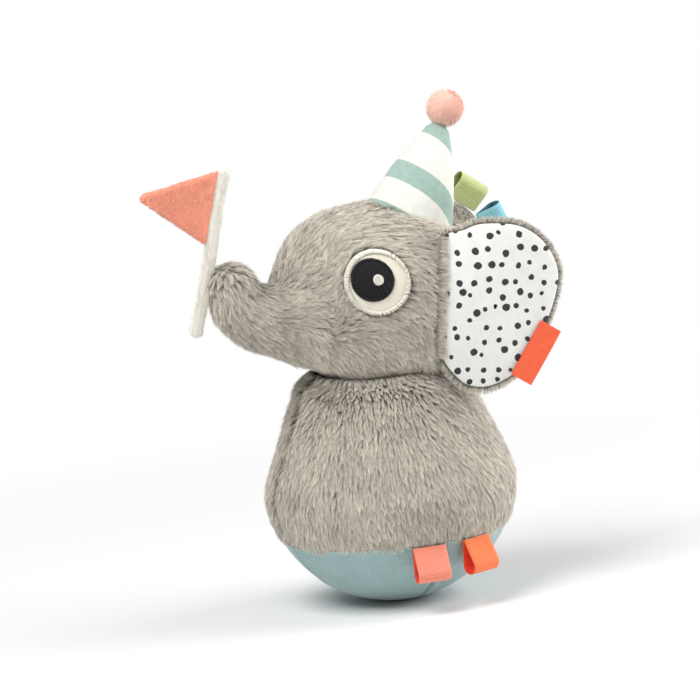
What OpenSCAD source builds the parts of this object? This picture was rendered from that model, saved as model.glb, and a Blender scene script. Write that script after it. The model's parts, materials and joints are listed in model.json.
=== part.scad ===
// Roly-poly elephant: a weighted round base under a stuffed body, with a chime inside.
// The front (trunk) is -Y, the toy's own left is +X, and the origin is the middle of the
// foot on the floor.

/* [Base] */
// Radius of the round base, over the cloth
base_r = 55.5; // [50:0.5:62]
// Depth of the flat that the base stands on
foot_cut = 0.5; // [0.3:0.1:1]
// Thickness of the base cloth
base_cloth_t = 1.2; // [0.8:0.1:2]
// Height of the seam between base and body
seam_z = 31; // [28:0.5:34]
// Turn of the base seams round the toy, in degrees
gore_turn = 5; // [0:1:15]

/* [Rocker] */
// Wall of the plastic rocker bowl and of its dome
shell_t = 2; // [1.5:0.1:2.5]
// Radius of the dome over the chime
dome_r = 36; // [33:0.5:37]
// Thickness of the dome's flange
flange_t = 3; // [2.5:0.1:4]
// Height of the counterweight's flat top
weight_top_z = 23; // [18:0.5:24]
// Radius of the ring of counterweight posts
post_ring_r = 22; // [18:0.5:26]
// Radius of a screw boss
boss_r = 3.6; // [3:0.1:4]
// Radius of a screw's shank
screw_r = 1.5; // [1.2:0.1:1.7]
// Radius of a screw's head
screw_head_r = 2.8; // [2.4:0.1:3]
// Thickness of a screw's head
screw_head_t = 1.6; // [1.2:0.1:1.8]

/* [Chime] */
// Radius of the disc that the chime rods hang from
hub_r = 17; // [16:0.2:18]
// Thickness of that disc
hub_t = 4; // [3:0.1:5]
// Radius of the ring of chime rods
rod_ring_r = 13; // [12.6:0.1:14]
// Radius of a chime rod
rod_r = 1.5; // [1:0.1:1.8]
// Length of a chime rod below the disc
rod_l = 24; // [18:0.5:26]
// Radius of the clapper's ball
ball_r = 5.5; // [4:0.1:5.6]
// Length from the clapper's pin to the middle of its ball
clapper_l = 17; // [14:0.5:18]
// Radius of the clapper's pin
pin_r = 1.2; // [1:0.1:1.5]

/* [Body] */
// Greatest radius of the body, over the plush
body_r = 54.4; // [52:0.2:58]
// Height of the neck seam
neck_z = 104; // [96:0.5:112]
// Radius of the neck
neck_r = 33.6; // [31:0.2:36]
// Thickness of the plush
plush_t = 3; // [2:0.1:4]

/* [Head] */
// Greatest width of the head
head_w = 72.6; // [68:0.2:76]
// Height from the neck seam to the head's widest line
head_rise = 36; // [34:0.5:38]
// Height of the crown above the widest line
head_up = 36.2; // [34:0.2:38]
// Depth of the head's full round below the widest line
head_drop = 62; // [58:0.5:66]
// Reach of the head in front of the middle, to the root of the trunk
head_front = 40; // [38:0.5:42]
// Reach of the head behind the middle
head_back = 47.2; // [45:0.2:50]
// Half thickness of the trunk at its root
trunk_r = 16; // [14:0.2:17]
// Reach of the trunk in front of its root
trunk_reach = 24.5; // [22:0.5:27]
// Rise of the trunk's tip
trunk_lift = 16.5; // [14:0.5:19]
// Drop of the trunk's root below the head's widest line
trunk_drop = 8; // [6:0.5:10]
// Half the angle that the gusset over the crown covers, in degrees
gusset_angle = 13; // [8:1:16]

/* [Eyes] */
// Radius of the round patch
eye_r = 14.2; // [11:0.2:15]
// Width of the patch's stitched rim
eye_rim_w = 1.9; // [1:0.1:2.5]
// Radius of the pupil
pupil_r = 9.4; // [7:0.1:9.6]
// Radius of the glint
glint_r = 2.5; // [1.5:0.1:3]
// Thickness of the patch
eye_t = 1.2; // [0.8:0.1:2]
// Thickness of each layer of stitching on it
stitch_t = 0.8; // [0.5:0.1:1.2]
// Place of the eye in front of the middle
eye_ahead = 9.6; // [6:0.2:13]
// Height of the eye above the head's widest line
eye_up = 6.6; // [3:0.2:10]

/* [Ears] */
// Width of an ear, from its sewn edge back
ear_w = 55; // [48:0.5:60]
// Height of an ear
ear_h = 74.6; // [66:0.2:80]
// Thickness of the printed front, in its middle
ear_front_t = 2.4; // [1.5:0.1:3.5]
// Thickness of the plush back, in its middle
ear_back_t = 4.2; // [3:0.1:5]
// Width of the plush rim that shows round the print
ear_rim_w = 2.6; // [1.5:0.1:4]
// Place of the sewn edge behind the middle
ear_root_y = 16.4; // [14:0.2:20]
// Drop of the sewn edge's middle below the head's widest line
ear_root_drop = 4.1; // [2:0.1:6]
// Lean of the sewn edge, in degrees
ear_lean = 7; // [0:1:12]
// Angle at which the ear stands out from the head, in degrees
ear_flare = 6; // [4:1:12]

/* [Trim] */
// Width of the ribbon of the loops
ribbon_w = 15; // [12:0.5:18]
// Thickness of the ribbon
ribbon_t = 0.8; // [0.5:0.1:1]
// Widest gap inside a loop
loop_gap = 6; // [5:0.1:7]
// Length of a base loop
base_loop_l = 15.5; // [13:0.5:18]
// Length of an ear loop
ear_loop_l = 12.5; // [11:0.5:16]
// Length of the ear label, along the ear's edge
label_l = 27; // [22:0.5:30]
// Width of the ear label
label_w = 10.5; // [8:0.5:12]
// Thickness of the folded label
label_t = 1; // [0.6:0.1:1.5]

/* [Hat] */
// Radius of the hat's foot
hat_r = 19.6; // [17:0.2:21]
// Radius of the hat's top
hat_top_r = 4; // [3:0.1:5]
// Length of the hat along its middle line
hat_l = 42; // [36:0.5:48]
// Thickness of the hat's cloth
hat_t = 1.6; // [1:0.1:2]
// Bulge of the hat's sides
hat_bulge = 1.6; // [0:0.1:3]
// Lean of the hat, in degrees
hat_lean = 25; // [20:1:30]
// Radius of the pompom
pom_r = 8.4; // [7:0.1:10]

/* [Flag] */
// Length of the strip that carries the pennant
strip_l = 75; // [66:0.5:82]
// Width of the strip
strip_w = 5.8; // [5:0.1:7]
// Thickness of the strip
strip_t = 2.4; // [1.6:0.1:3]
// Lean of the strip, in degrees
strip_lean = 16; // [12:1:20]
// Depth of the pennant where it is sewn to the strip
pennant_h = 33; // [26:0.5:36]
// Length of the pennant, from the strip to its tip
pennant_l = 33; // [28:0.5:38]
// Thickness of one layer of the pennant
pennant_t = 1.1; // [0.8:0.1:1.6]

/* [Hidden] */
$fn = 96;

// Clearances: between sewn or stacked pieces, round the head's stuffing, round a screw, and
// of the pin in its bores
seat_gap = 0.3;
stuffing_gap = 2;
screw_gap = 0.15;
pin_gap = 0.06;
// Overrun of every cut
over = 1;

// Colours, as on the toy
plush_tone = [0.69, 0.66, 0.62];
teal_tone = [0.59, 0.70, 0.70];
cream_tone = [0.93, 0.91, 0.84];
cotton_tone = [0.95, 0.95, 0.94];
black_tone = [0.11, 0.11, 0.12];
coral_tone = [0.97, 0.56, 0.46];
orange_tone = [1.0, 0.44, 0.24];
sage_tone = [0.68, 0.78, 0.73];
peach_tone = [0.96, 0.70, 0.62];
green_tone = [0.74, 0.78, 0.53];
blue_tone = [0.55, 0.80, 0.85];
wadding_tone = [0.96, 0.96, 0.95];
plastic_tone = [0.88, 0.88, 0.86];
iron_tone = [0.35, 0.35, 0.37];
steel_tone = [0.72, 0.73, 0.75];
brass_tone = [0.80, 0.66, 0.36];

// Base and rocker
base_z = base_r - foot_cut;
bowl_r = base_r - base_cloth_t - seat_gap;
bowl_in_r = bowl_r - shell_t;
rim_z = seam_z - base_cloth_t;
flange_r = sqrt(pow(bowl_in_r, 2) - pow(base_z - rim_z, 2)) - seat_gap;
flange_top_z = rim_z + flange_t;
flange_ring_share = 0.544;
flange_ring_r = dome_r + flange_ring_share * (flange_r - dome_r);
flange_screws = 4;
post_screws = 3;
boss_skin = 1.4;

// Chime, hung from a boss under the dome's top, clear of the counterweight. The dome has a
// straight wall under its round where the chime needs one
dome_boss_r = 7;
dome_boss_t = 3;
hub_stem_r = 5;
hub_stem_l = 4.5;
lug_drop = 4.5;
chime_clear = 2.3;
chime_l = max(rod_l, lug_drop + clapper_l + ball_r) + hub_t + hub_stem_l;
chime_top_z = weight_top_z + chime_clear + chime_l + dome_boss_t + shell_t;
dome_wall_h = max(chime_top_z - rim_z - dome_r, 0);
dome_mid_z = rim_z + dome_wall_h;
dome_top_z = dome_mid_z + dome_r;
hub_seat_z = dome_top_z - shell_t - dome_boss_t;
hub_top_z = hub_seat_z - hub_stem_l;
hub_low_z = hub_top_z - hub_t;
hub_screw_z = dome_top_z - screw_head_t - boss_skin;
hub_screw_l = 9;
rod_count = 6;
rod_seat = 3;
lug_t = 3;
lug_half_w = 3.4;
eye_ring_r = 2.8;
eye_ring_w = 5;
eye_ring_gap = 0.4;
clapper_rod_r = 1.2;
pin_z = hub_low_z - lug_drop;
ball_z = pin_z - clapper_l;

// Body outline: height shares from seam to neck, with radius shares from the seam out to the
// fullest place, and then from the neck out to the fullest place
seam_r = sqrt(pow(base_r, 2) - pow(base_z - seam_z, 2));
body_low_shares = [[0, 0], [0.07, 0.45], [0.16, 0.87], [0.25, 1]];
body_high_shares = [[0.34, 0.955], [0.5, 0.75], [0.68, 0.46], [0.85, 0.17], [1, 0]];
body_low_z = seam_z + seat_gap;
body_steps = 24;

function body_height(share) = body_low_z + share * (neck_z - body_low_z);
function body_knots() = concat(
    [for (s = body_low_shares) [seam_r + s[1] * (body_r - seam_r), body_height(s[0])]],
    [for (s = body_high_shares) [neck_r + s[1] * (body_r - neck_r), body_height(s[0])]]
);

// A smooth curve from b to c at t from 0 to 1, with its neighbours a and d
function bend(a, b, c, d, t) = b + (c - a) * t / 2
    + (2 * a - 5 * b + 4 * c - d) * pow(t, 2) / 2
    + (3 * b - a - 3 * c + d) * pow(t, 3) / 2;
// A smooth curve through the knots p, read at s from 0 to the number of spans
function spline(p, s) = let (last = len(p) - 1, i = min(floor(s), last - 1))
    bend(p[max(i - 1, 0)], p[i], p[i + 1], p[min(i + 2, last)], s - i);
// The same through a closed ring of knots
function ring_spline(p, s) = let (n = len(p), i = floor(s))
    bend(p[(i + n - 1) % n], p[i % n], p[(i + 1) % n], p[(i + 2) % n], s - i);

function reversed(p) = [for (i = [len(p) - 1:-1:0]) p[i]];

function body_outline(inset) = let (k = body_knots(), spans = len(k) - 1)
    [for (i = [0:body_steps]) let (p = spline(k, spans * i / body_steps)) [p[0] - inset, p[1]]];

// Head: rings from the tip of the trunk to the back of the head. A ring holds its middle
// [y, z], its tilt, half width, height up, depth down and how square its lower half is
head_z = neck_z + head_rise;
neck_plane_z = neck_z + seat_gap;
trunk_root_z = head_z - trunk_drop;
trunk_shares = [
    [1, 1, 72, 0.72, 0.63],
    [0.925, 0.58, 52, 0.81, 0.775],
    [0.64, 0.19, 28, 0.89, 0.89],
    [0.3, 0, 8, 1, 1]
];
head_shares = [
    [-1, 0.18, 0.54, 0.62, 0.363, 2],
    [-0.775, 0.097, 0.744, 0.856, 0.5, 2.2],
    [-0.45, 0.028, 0.909, 0.967, 0.84, 2.5],
    [0, 0, 0.99, 1, 1, 2.5],
    [0.318, 0, 1, 0.953, 0.968, 2.5],
    [0.593, 0.028, 0.917, 0.818, 0.742, 2.5],
    [0.784, 0.042, 0.758, 0.63, 0.452, 2.4],
    [0.911, 0.042, 0.551, 0.409, 0.258, 2.2],
    [0.979, 0.042, 0.289, 0.193, 0.121, 2],
    [1, 0.042, 0.016, 0.017, 0.01, 2]
];
// The rounded end of the trunk: angles of its rings, and its length as a share of its thickness
tip_angles = [86, 62, 34];
tip_round_share = 0.92;
rings_per_span = 2;
panel_steps = 11;
gusset_steps = 2;
stuffing_end = 177;

function trunk_ring(s) = [
    -head_front - s[0] * trunk_reach, trunk_root_z + s[1] * trunk_lift, s[2],
    s[3] * trunk_r, s[4] * trunk_r, s[4] * trunk_r, 2
];
function tip_ring(a) = let (
    t = trunk_ring(trunk_shares[0]),
    along = tip_round_share * t[4] * sin(a)
) [
    t[0] - along * cos(t[2]), t[1] + along * sin(t[2]), t[2],
    t[3] * cos(a), t[4] * cos(a), t[5] * cos(a), 2
];
function head_ring(s) = [
    s[0] * (s[0] < 0 ? head_front : head_back), head_z - s[1] * head_rise, 0,
    s[2] * head_w / 2, s[3] * head_up, s[4] * head_drop, s[5]
];
head_knots = concat(
    [for (a = tip_angles) tip_ring(a)],
    [for (s = trunk_shares) trunk_ring(s)],
    [for (s = head_shares) head_ring(s)]
);
head_spans = len(head_knots) - 1;
head_rings = head_spans * rings_per_span;

// Ring i of the head, set in by d: its ends move in along the middle line, its sides move in
tip_span_l = tip_round_share * trunk_shares[0][4] * trunk_r;
back_span_l = head_back * (1 - head_shares[len(head_shares) - 3][0]);
least_ring_r = 0.4;
function inset_place(i, d) = let (
    s = head_spans * i / head_rings,
    from_tip = len(tip_angles) * d / tip_span_l,
    from_back = 2 * d / back_span_l
) from_tip + s * (head_spans - from_tip - from_back) / head_spans;
function inset_ring(i, d) = let (r = spline(head_knots, inset_place(i, d))) [
    r[0], r[1], r[2],
    max(r[3] - d, least_ring_r), max(r[4] - d, least_ring_r), max(r[5] - d, least_ring_r), r[6]
];
function powered(v, p) = sign(v) * pow(abs(v), p);
// Point of ring r at an angle from the crown, 90 being the toy's left
function ring_point(r, a) = let (
    low = cos(a) < 0,
    p = low ? 2 / r[6] : 1,
    x = r[3] * powered(sin(a), p),
    h = low ? r[5] * powered(cos(a), p) : r[4] * cos(a)
) [x, r[0] + h * sin(r[2]), r[1] + h * cos(r[2])];
// Angle at which ring r meets the neck seam, or 180 where it stays above or is tilted
upright_tilt = 1;
function neck_angle(r) = let (depth = (r[1] - neck_plane_z) / r[5])
    (depth >= 1 || abs(r[2]) > upright_tilt) ? 180 : 180 - acos(pow(depth, r[6] / 2));

function panel_points(a0, a1, d, steps) = [
    for (i = [0:head_rings]) let (r = inset_ring(i, d), end = min(a1, neck_angle(r)))
        for (j = [0:steps]) ring_point(r, a0 + (end - a0) * j / steps)
];

// Two triangles for a face of four corners
function two(a, b, c, d) = [[a, c, b], [a, d, c]];

// A closed shell between two grids of points, each of rows by cols
module grid_shell(outer, inner, rows, cols) {
    n = rows * cols;
    function at(i, j) = i * cols + j;
    faces = concat(
        [for (i = [0:rows - 2], j = [0:cols - 2],
            f = two(at(i, j), at(i, j + 1), at(i + 1, j + 1), at(i + 1, j))) f],
        [for (i = [0:rows - 2], j = [0:cols - 2],
            f = two(n + at(i + 1, j), n + at(i + 1, j + 1), n + at(i, j + 1), n + at(i, j))) f],
        [for (i = [0:rows - 2], f = two(at(i, 0), at(i + 1, 0), n + at(i + 1, 0), n + at(i, 0))) f],
        [for (i = [0:rows - 2],
            f = two(n + at(i, cols - 1), n + at(i + 1, cols - 1), at(i + 1, cols - 1), at(i, cols - 1))) f],
        [for (j = [0:cols - 2], f = two(n + at(0, j), n + at(0, j + 1), at(0, j + 1), at(0, j))) f],
        [for (j = [0:cols - 2],
            f = two(at(rows - 1, j), at(rows - 1, j + 1), n + at(rows - 1, j + 1), n + at(rows - 1, j))) f]
    );
    polyhedron(points = concat(outer, inner), faces = faces);
}

module head_skin(a0, a1, steps) {
    grid_shell(
        panel_points(a0, a1, 0, steps), panel_points(a0, a1, plush_t, steps), head_rings + 1, steps + 1
    );
}

// Side of the head: the toy's left half width at a place [y, z], with the ring found by halving
eye_first_span = len(tip_angles) + len(trunk_shares);
halvings = 18;
function ring_at(y, lo, hi, n) = let (mid = (lo + hi) / 2, r = spline(head_knots, mid))
    n == 0 ? r : r[0] < y ? ring_at(y, mid, hi, n - 1) : ring_at(y, lo, mid, n - 1);
function head_side(y, z) = let (
    r = ring_at(y, eye_first_span, head_spans, halvings),
    low = z < r[1],
    p = low ? r[6] : 2,
    h = low ? r[5] : r[4]
) r[3] * pow(max(1 - pow(abs(z - r[1]) / h, p), 0), 1 / p);

// Eyes: layers that follow the side of the head
eye_z = head_z + eye_up;
pupil_ahead_share = 0.155;
pupil_up_share = 0.1;
glint_back_share = 0.15;
eye_sides = 20;
patch_rings = 2;
pupil_y = -eye_ahead - pupil_ahead_share * eye_r;
pupil_z = eye_z + pupil_up_share * eye_r;

function disc_points(y, z, r0, r1, rings, lift) = [
    for (i = [0:rings]) let (r = r0 + (r1 - r0) * i / rings)
        for (k = [0:eye_sides - 1]) let (
            a = 360 * k / eye_sides,
            py = y + r * cos(a),
            pz = z + r * sin(a)
        ) [head_side(py, pz) + lift, py, pz]
];
// A round layer, or a ring if r0 is above zero, of thickness t at a lift above the plush
module eye_layer(y, z, r0, r1, rings, lift, t) {
    low = disc_points(y, z, r0, r1, rings, lift);
    high = disc_points(y, z, r0, r1, rings, lift + t);
    n = len(low);
    function at(i, k) = i * eye_sides + k % eye_sides;
    open = r0 > least_ring_r;
    faces = concat(
        [for (i = [0:rings - 1], k = [0:eye_sides - 1],
            f = two(at(i, k), at(i, k + 1), at(i + 1, k + 1), at(i + 1, k))) f],
        [for (i = [0:rings - 1], k = [0:eye_sides - 1],
            f = two(n + at(i + 1, k), n + at(i + 1, k + 1), n + at(i, k + 1), n + at(i, k))) f],
        [for (k = [0:eye_sides - 1],
            f = two(at(rings, k), at(rings, k + 1), n + at(rings, k + 1), n + at(rings, k))) f],
        open ? [for (k = [0:eye_sides - 1],
                f = two(n + at(0, k), n + at(0, k + 1), at(0, k + 1), at(0, k))) f]
            : [[for (k = [0:eye_sides - 1]) at(0, k)], [for (k = [eye_sides - 1:-1:0]) n + at(0, k)]]
    );
    polyhedron(points = concat(low, high), faces = faces);
}

// Ears, drawn in their own frame: x outward, y back from the sewn edge, z along it
ear_back_edge_t = 0.9;
ear_front_edge_t = 0.6;
ear_bow_up = 10;
ear_bow_low = 4;
ear_root_x = head_w / 2 + ear_back_edge_t + seat_gap * 2;
ear_root_z = head_z - ear_root_drop;
ear_outline_shares = [
    [0.034, 0.366], [0.2, 0.418], [0.36, 0.457], [0.65, 0.448], [0.86, 0.357], [0.99, 0.206],
    [1, 0.058], [0.92, -0.151], [0.8, -0.299], [0.68, -0.446], [0.476, -0.534], [0.315, -0.543],
    [0.187, -0.5], [0.035, -0.362], [0.004, -0.17], [0.018, 0.127]
];
ear_middle_shares = [0.46, -0.045];
ear_points_per_span = 2;
ear_ring_shares = [0.04, 0.5, 0.85, 1];
ear_sides = len(ear_outline_shares) * ear_points_per_span;

// Place on the ear's outline, at a share of the way round
function ear_spot(share) = let (p = ring_spline(ear_outline_shares, share * len(ear_outline_shares)))
    [p[0] * ear_w, p[1] * ear_h];
function ear_middle() = [ear_middle_shares[0] * ear_w, ear_middle_shares[1] * ear_h];
// How far the sewn edge follows the head's round in, above and below its middle
function ear_sink(p) = (p[1] > 0 ? ear_bow_up : ear_bow_low)
    * pow(2 * p[1] / ear_h, 2) * pow(max(1 - p[0] / ear_w, 0), 2);
// How full the ear is, from nothing at its sewn edge
ear_full_share = 0.35;
function ear_full(p) = let (t = min(max(p[0] / (ear_full_share * ear_w), 0), 1)) t * (2 - t);
function ear_sheet(grow, mid_x, edge_x) = [
    for (q = ear_ring_shares) for (k = [0:ear_sides - 1]) let (
        m = ear_middle(),
        e = ear_spot(k / ear_sides) - m,
        p = m + e * q * (norm(e) + grow) / norm(e)
    ) [edge_x + (mid_x - edge_x) * sqrt(1 - q * q) * ear_full(p) - ear_sink(p), p[0], p[1]]
];
// An ear's leaf between two sheets of points, the first one nearer the head
module ear_leaf(near, far) {
    n = len(near);
    rows = len(ear_ring_shares);
    function at(i, k) = i * ear_sides + k % ear_sides;
    faces = concat(
        [for (i = [0:rows - 2], k = [0:ear_sides - 1],
            f = two(at(i, k), at(i + 1, k), at(i + 1, k + 1), at(i, k + 1))) f],
        [for (i = [0:rows - 2], k = [0:ear_sides - 1],
            f = two(n + at(i, k + 1), n + at(i + 1, k + 1), n + at(i + 1, k), n + at(i, k))) f],
        [for (k = [0:ear_sides - 1],
            f = two(n + at(rows - 1, k), n + at(rows - 1, k + 1), at(rows - 1, k + 1), at(rows - 1, k))) f],
        [[for (k = [ear_sides - 1:-1:0]) at(0, k)], [for (k = [0:ear_sides - 1]) n + at(0, k)]]
    );
    polyhedron(points = concat(near, far), faces = faces);
}
module ear_place() {
    translate([ear_root_x, ear_root_y, ear_root_z])
        rotate([-ear_lean, 0, -ear_flare])
            children();
}

// Loops and label on the ears: their places round the outline
green_share = 0.2156;
blue_share = 0.2906;
label_share = 0.5063;
near_share = 0.003;
function ear_heading(share) = let (t = ear_spot(share + near_share) - ear_spot(share - near_share))
    atan2(t[1], t[0]);
ear_seam_inset = 4;
label_lift_share = 0.4;
label_x = ear_front_edge_t + label_lift_share * (ear_front_t - ear_front_edge_t) + seat_gap;
loop_root_w = 2 * ribbon_t;
loop_in_r = loop_gap / 2;
loop_clear = 0.7;

// Base loops hang from the base seam
coral_angle = -4;
orange_angle = 23;
base_loop_out = 12;
base_loop_r = seam_r + loop_clear;
base_loop_z = seam_z - loop_clear;

// Hat, standing on the crown along its own leaning line
crown_fit_share = 1.425;
crown_gap = 1.2;
hat_place_share = 0.445;
hat_sink = 5.3;
crown_fit_r = crown_fit_share * head_up;
crown_mid_z = head_z + head_up + crown_gap - crown_fit_r;
hat_y = hat_place_share * head_back;
hat_z = crown_mid_z + sqrt(pow(crown_fit_r, 2) - pow(hat_y, 2)) - hat_sink;
hat_skirt = hat_r;
hat_steps = 10;
pom_flat = sqrt(pow(pom_r, 2) - pow(hat_top_r, 2));
function hat_profile(inset) = [
    for (i = [0:hat_steps]) let (t = i / hat_steps)
        [hat_r + (hat_top_r - hat_r) * t + hat_bulge * sin(180 * t) - inset, hat_l * t]
];
module hat_place() {
    translate([0, hat_y, hat_z])
        rotate([-hat_lean, 0, 0])
            children();
}
// The round of the crown that the hat sits on
module crown_round(grow) {
    translate([0, 0, crown_mid_z])
        sphere(r = crown_fit_r + grow);
}

// Flag: the strip touches the front of the trunk's tip; along is up the strip, ahead is forward
strip_dir = [0, sin(strip_lean), cos(strip_lean)];
strip_ahead = [0, -cos(strip_lean), sin(strip_lean)];
tip_samples = [for (i = [0:rings_per_span * (len(tip_angles) + 2)]) ring_point(inset_ring(i, 0), 180)];
tip_front = max([for (p = tip_samples) p * strip_ahead]);
tip_ring_mid = trunk_ring(trunk_shares[0]);
strip_hold = [0, tip_ring_mid[0], tip_ring_mid[1]] * strip_dir;
strip_hold_share = 0.32;
pennant_top_gap = 1.5;
pennant_seam = 1.2;
pennant_tip_share = 0.5;
pennant_round = 2.5;
module flag_place() {
    translate(strip_hold * strip_dir + (tip_front + seat_gap) * strip_ahead)
        rotate([-strip_lean, 0, 0])
            children();
}

// Shapes that repeat

module base_gore(turn) {
    color(teal_tone)
        rotate([0, 0, gore_turn + turn])
            rotate_extrude(angle = 90)
                intersection() {
                    translate([0, base_z])
                        difference() {
                            circle(r = base_r);
                            circle(r = base_r - base_cloth_t);
                        }
                    square([base_r + over, seam_z]);
                }
}

module body_panel() {
    color(plush_tone)
        rotate([0, 0, -90])
            rotate_extrude(angle = 180)
                polygon(concat(body_outline(0), reversed(body_outline(plush_t))));
}

module on_ring(count, r, start) {
    for (i = [0:count - 1])
        rotate([0, 0, start + 360 * i / count])
            translate([r, 0, 0])
                children();
}

module screw(shank_l) {
    translate([0, 0, -shank_l])
        cylinder(r = screw_r, h = shank_l);
    cylinder(r = screw_head_r, h = screw_head_t);
}

// A ribbon loop in its own frame: y is the ribbon's width, and it reaches down from its root
module ribbon_loop(reach) {
    rotate([90, 0, 0])
        linear_extrude(height = ribbon_w, center = true)
            difference() {
                hull() {
                    translate([-ribbon_t, -ribbon_t])
                        square([loop_root_w, ribbon_t]);
                    translate([0, loop_in_r + ribbon_t - reach])
                        circle(r = loop_in_r + ribbon_t, $fn = 32);
                }
                hull() {
                    translate([-ribbon_t / 4, -3 * ribbon_t])
                        square([ribbon_t / 2, ribbon_t / 2]);
                    translate([0, loop_in_r + ribbon_t - reach])
                        circle(r = loop_in_r, $fn = 32);
                }
            }
}

module base_loop(angle) {
    rotate([0, 0, angle])
        translate([base_loop_r, 0, base_loop_z])
            rotate([0, -base_loop_out, 0])
                ribbon_loop(base_loop_l);
}

// A loop on the right ear's edge, reaching out from the ear in its plane
module ear_loop(share) {
    p = ear_spot(share);
    mirror([1, 0, 0])
        ear_place()
            translate([0, p[0], p[1]])
                rotate([ear_heading(share), 0, 0])
                    translate([0, 0, loop_clear])
                        mirror([0, 0, 1])
                            ribbon_loop(ear_loop_l);
}

module pennant_outline() {
    hull() {
        square([pennant_seam, pennant_h]);
        translate([pennant_l - pennant_round, pennant_h * pennant_tip_share])
            circle(r = pennant_round, $fn = 32);
    }
}

module pennant_layer(side) {
    color(coral_tone)
        flag_place()
            translate([0, -strip_w, (1 - strip_hold_share) * strip_l - pennant_h - pennant_top_gap])
                rotate([90, 0, -90])
                    translate([seat_gap / 2, 0, side * (pennant_t + seat_gap / 2) / 2])
                        linear_extrude(height = pennant_t, center = true)
                            pennant_outline();
}

// Base

module base_gore_front_left() { base_gore(-90); }
module base_gore_back_left() { base_gore(0); }
module base_gore_back_right() { base_gore(90); }
module base_gore_front_right() { base_gore(180); }

// Rocker and its weight

module rocker_bowl() {
    color(plastic_tone)
        difference() {
            union() {
                rotate_extrude()
                    intersection() {
                        translate([0, base_z])
                            difference() {
                                circle(r = bowl_r);
                                circle(r = bowl_in_r);
                            }
                        square([base_r, rim_z]);
                    }
                intersection() {
                    translate([0, 0, base_z])
                        sphere(r = bowl_r - shell_t / 2);
                    union() {
                        on_ring(flange_screws, flange_ring_r, 45)
                            translate([0, 0, weight_top_z + seat_gap])
                                cylinder(r = boss_r, h = rim_z - weight_top_z - seat_gap);
                        on_ring(post_screws, post_ring_r, 90)
                            cylinder(r = boss_r, h = weight_top_z);
                    }
                }
            }
            on_ring(flange_screws, flange_ring_r, 45)
                translate([0, 0, rim_z - boss_r])
                    cylinder(r = screw_r + screw_gap, h = boss_r + over);
            on_ring(post_screws, post_ring_r, 90)
                translate([0, 0, weight_top_z - 2 * boss_r])
                    cylinder(r = screw_r + screw_gap, h = 2 * boss_r + over);
        }
}

module counterweight() {
    color(iron_tone)
        difference() {
            rotate_extrude()
                intersection() {
                    translate([0, base_z])
                        circle(r = bowl_in_r - seat_gap);
                    square([base_r, weight_top_z]);
                }
            on_ring(post_screws, post_ring_r, 90)
                cylinder(r = boss_r + seat_gap, h = base_r);
        }
}

module counterweight_screws() {
    color(steel_tone)
        on_ring(post_screws, post_ring_r, 90)
            translate([0, 0, weight_top_z]) {
                screw(2 * boss_r - seat_gap);
                cylinder(r = boss_r + boss_skin, h = screw_head_t / 2);
            }
}

// Half outline of the dome at radius r: its round, and its straight wall if it has one
module dome_outline(r) {
    translate([0, dome_mid_z])
        intersection() {
            circle(r = r);
            square([r, r]);
        }
    if (dome_wall_h > 0)
        translate([0, rim_z])
            square([r, dome_wall_h]);
}

module rocker_dome() {
    color(plastic_tone)
        difference() {
            union() {
                rotate_extrude()
                    difference() {
                        dome_outline(dome_r);
                        dome_outline(dome_r - shell_t);
                    }
                translate([0, 0, rim_z])
                    difference() {
                        cylinder(r = flange_r, h = flange_t);
                        translate([0, 0, -over])
                            cylinder(r = dome_r - shell_t / 2, h = flange_t + 2 * over);
                    }
                intersection() {
                    translate([0, 0, hub_seat_z])
                        cylinder(r = dome_boss_r, h = dome_r);
                    translate([0, 0, dome_mid_z])
                        sphere(r = dome_r - shell_t / 2);
                }
            }
            on_ring(flange_screws, flange_ring_r, 45) {
                cylinder(r = screw_r + screw_gap, h = base_r);
                translate([0, 0, flange_top_z - screw_head_t - screw_gap])
                    cylinder(r = screw_head_r + screw_gap, h = flange_t);
            }
            cylinder(r = screw_r + screw_gap, h = base_r * 2);
            translate([0, 0, hub_screw_z])
                cylinder(r = screw_head_r + screw_gap, h = dome_r);
        }
}

module dome_screws() {
    color(steel_tone)
        on_ring(flange_screws, flange_ring_r, 45)
            translate([0, 0, flange_top_z - screw_head_t - screw_gap])
                screw(flange_t - screw_head_t + boss_r - 2 * screw_gap);
}

// Chime

module chime_hub() {
    color(plastic_tone)
        difference() {
            union() {
                translate([0, 0, hub_low_z])
                    cylinder(r = hub_r, h = hub_t);
                translate([0, 0, hub_low_z])
                    cylinder(r = hub_stem_r, h = hub_t + hub_stem_l);
                for (side = [-1, 1])
                    translate([side * (eye_ring_w / 2 + eye_ring_gap + lug_t / 2), 0, pin_z])
                        rotate([0, 90, 0]) {
                            cylinder(r = lug_half_w, h = lug_t, center = true);
                            translate([-(lug_drop + hub_t / 2) / 2, 0, 0])
                                cube([lug_drop + hub_t / 2, 2 * lug_half_w, lug_t], center = true);
                        }
            }
            on_ring(rod_count, rod_ring_r, 90)
                translate([0, 0, hub_low_z - over])
                    cylinder(r = rod_r + screw_gap, h = rod_seat + over);
            translate([0, 0, hub_screw_z - hub_screw_l])
                cylinder(r = screw_r + screw_gap, h = hub_screw_l);
            translate([0, 0, pin_z])
                rotate([0, 90, 0])
                    cylinder(r = pin_r + pin_gap, h = hub_r * 2, center = true);
        }
}

module chime_hub_screw() {
    color(steel_tone)
        translate([0, 0, hub_screw_z])
            screw(hub_screw_l - screw_gap);
}

module chime_rods() {
    color(brass_tone)
        on_ring(rod_count, rod_ring_r, 90)
            translate([0, 0, hub_low_z - rod_l])
                cylinder(r = rod_r, h = rod_l + rod_seat - screw_gap);
}

module clapper_pin() {
    color(steel_tone)
        translate([0, 0, pin_z])
            rotate([0, 90, 0])
                cylinder(r = pin_r, h = eye_ring_w + 2 * (eye_ring_gap + lug_t), center = true);
}

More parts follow.
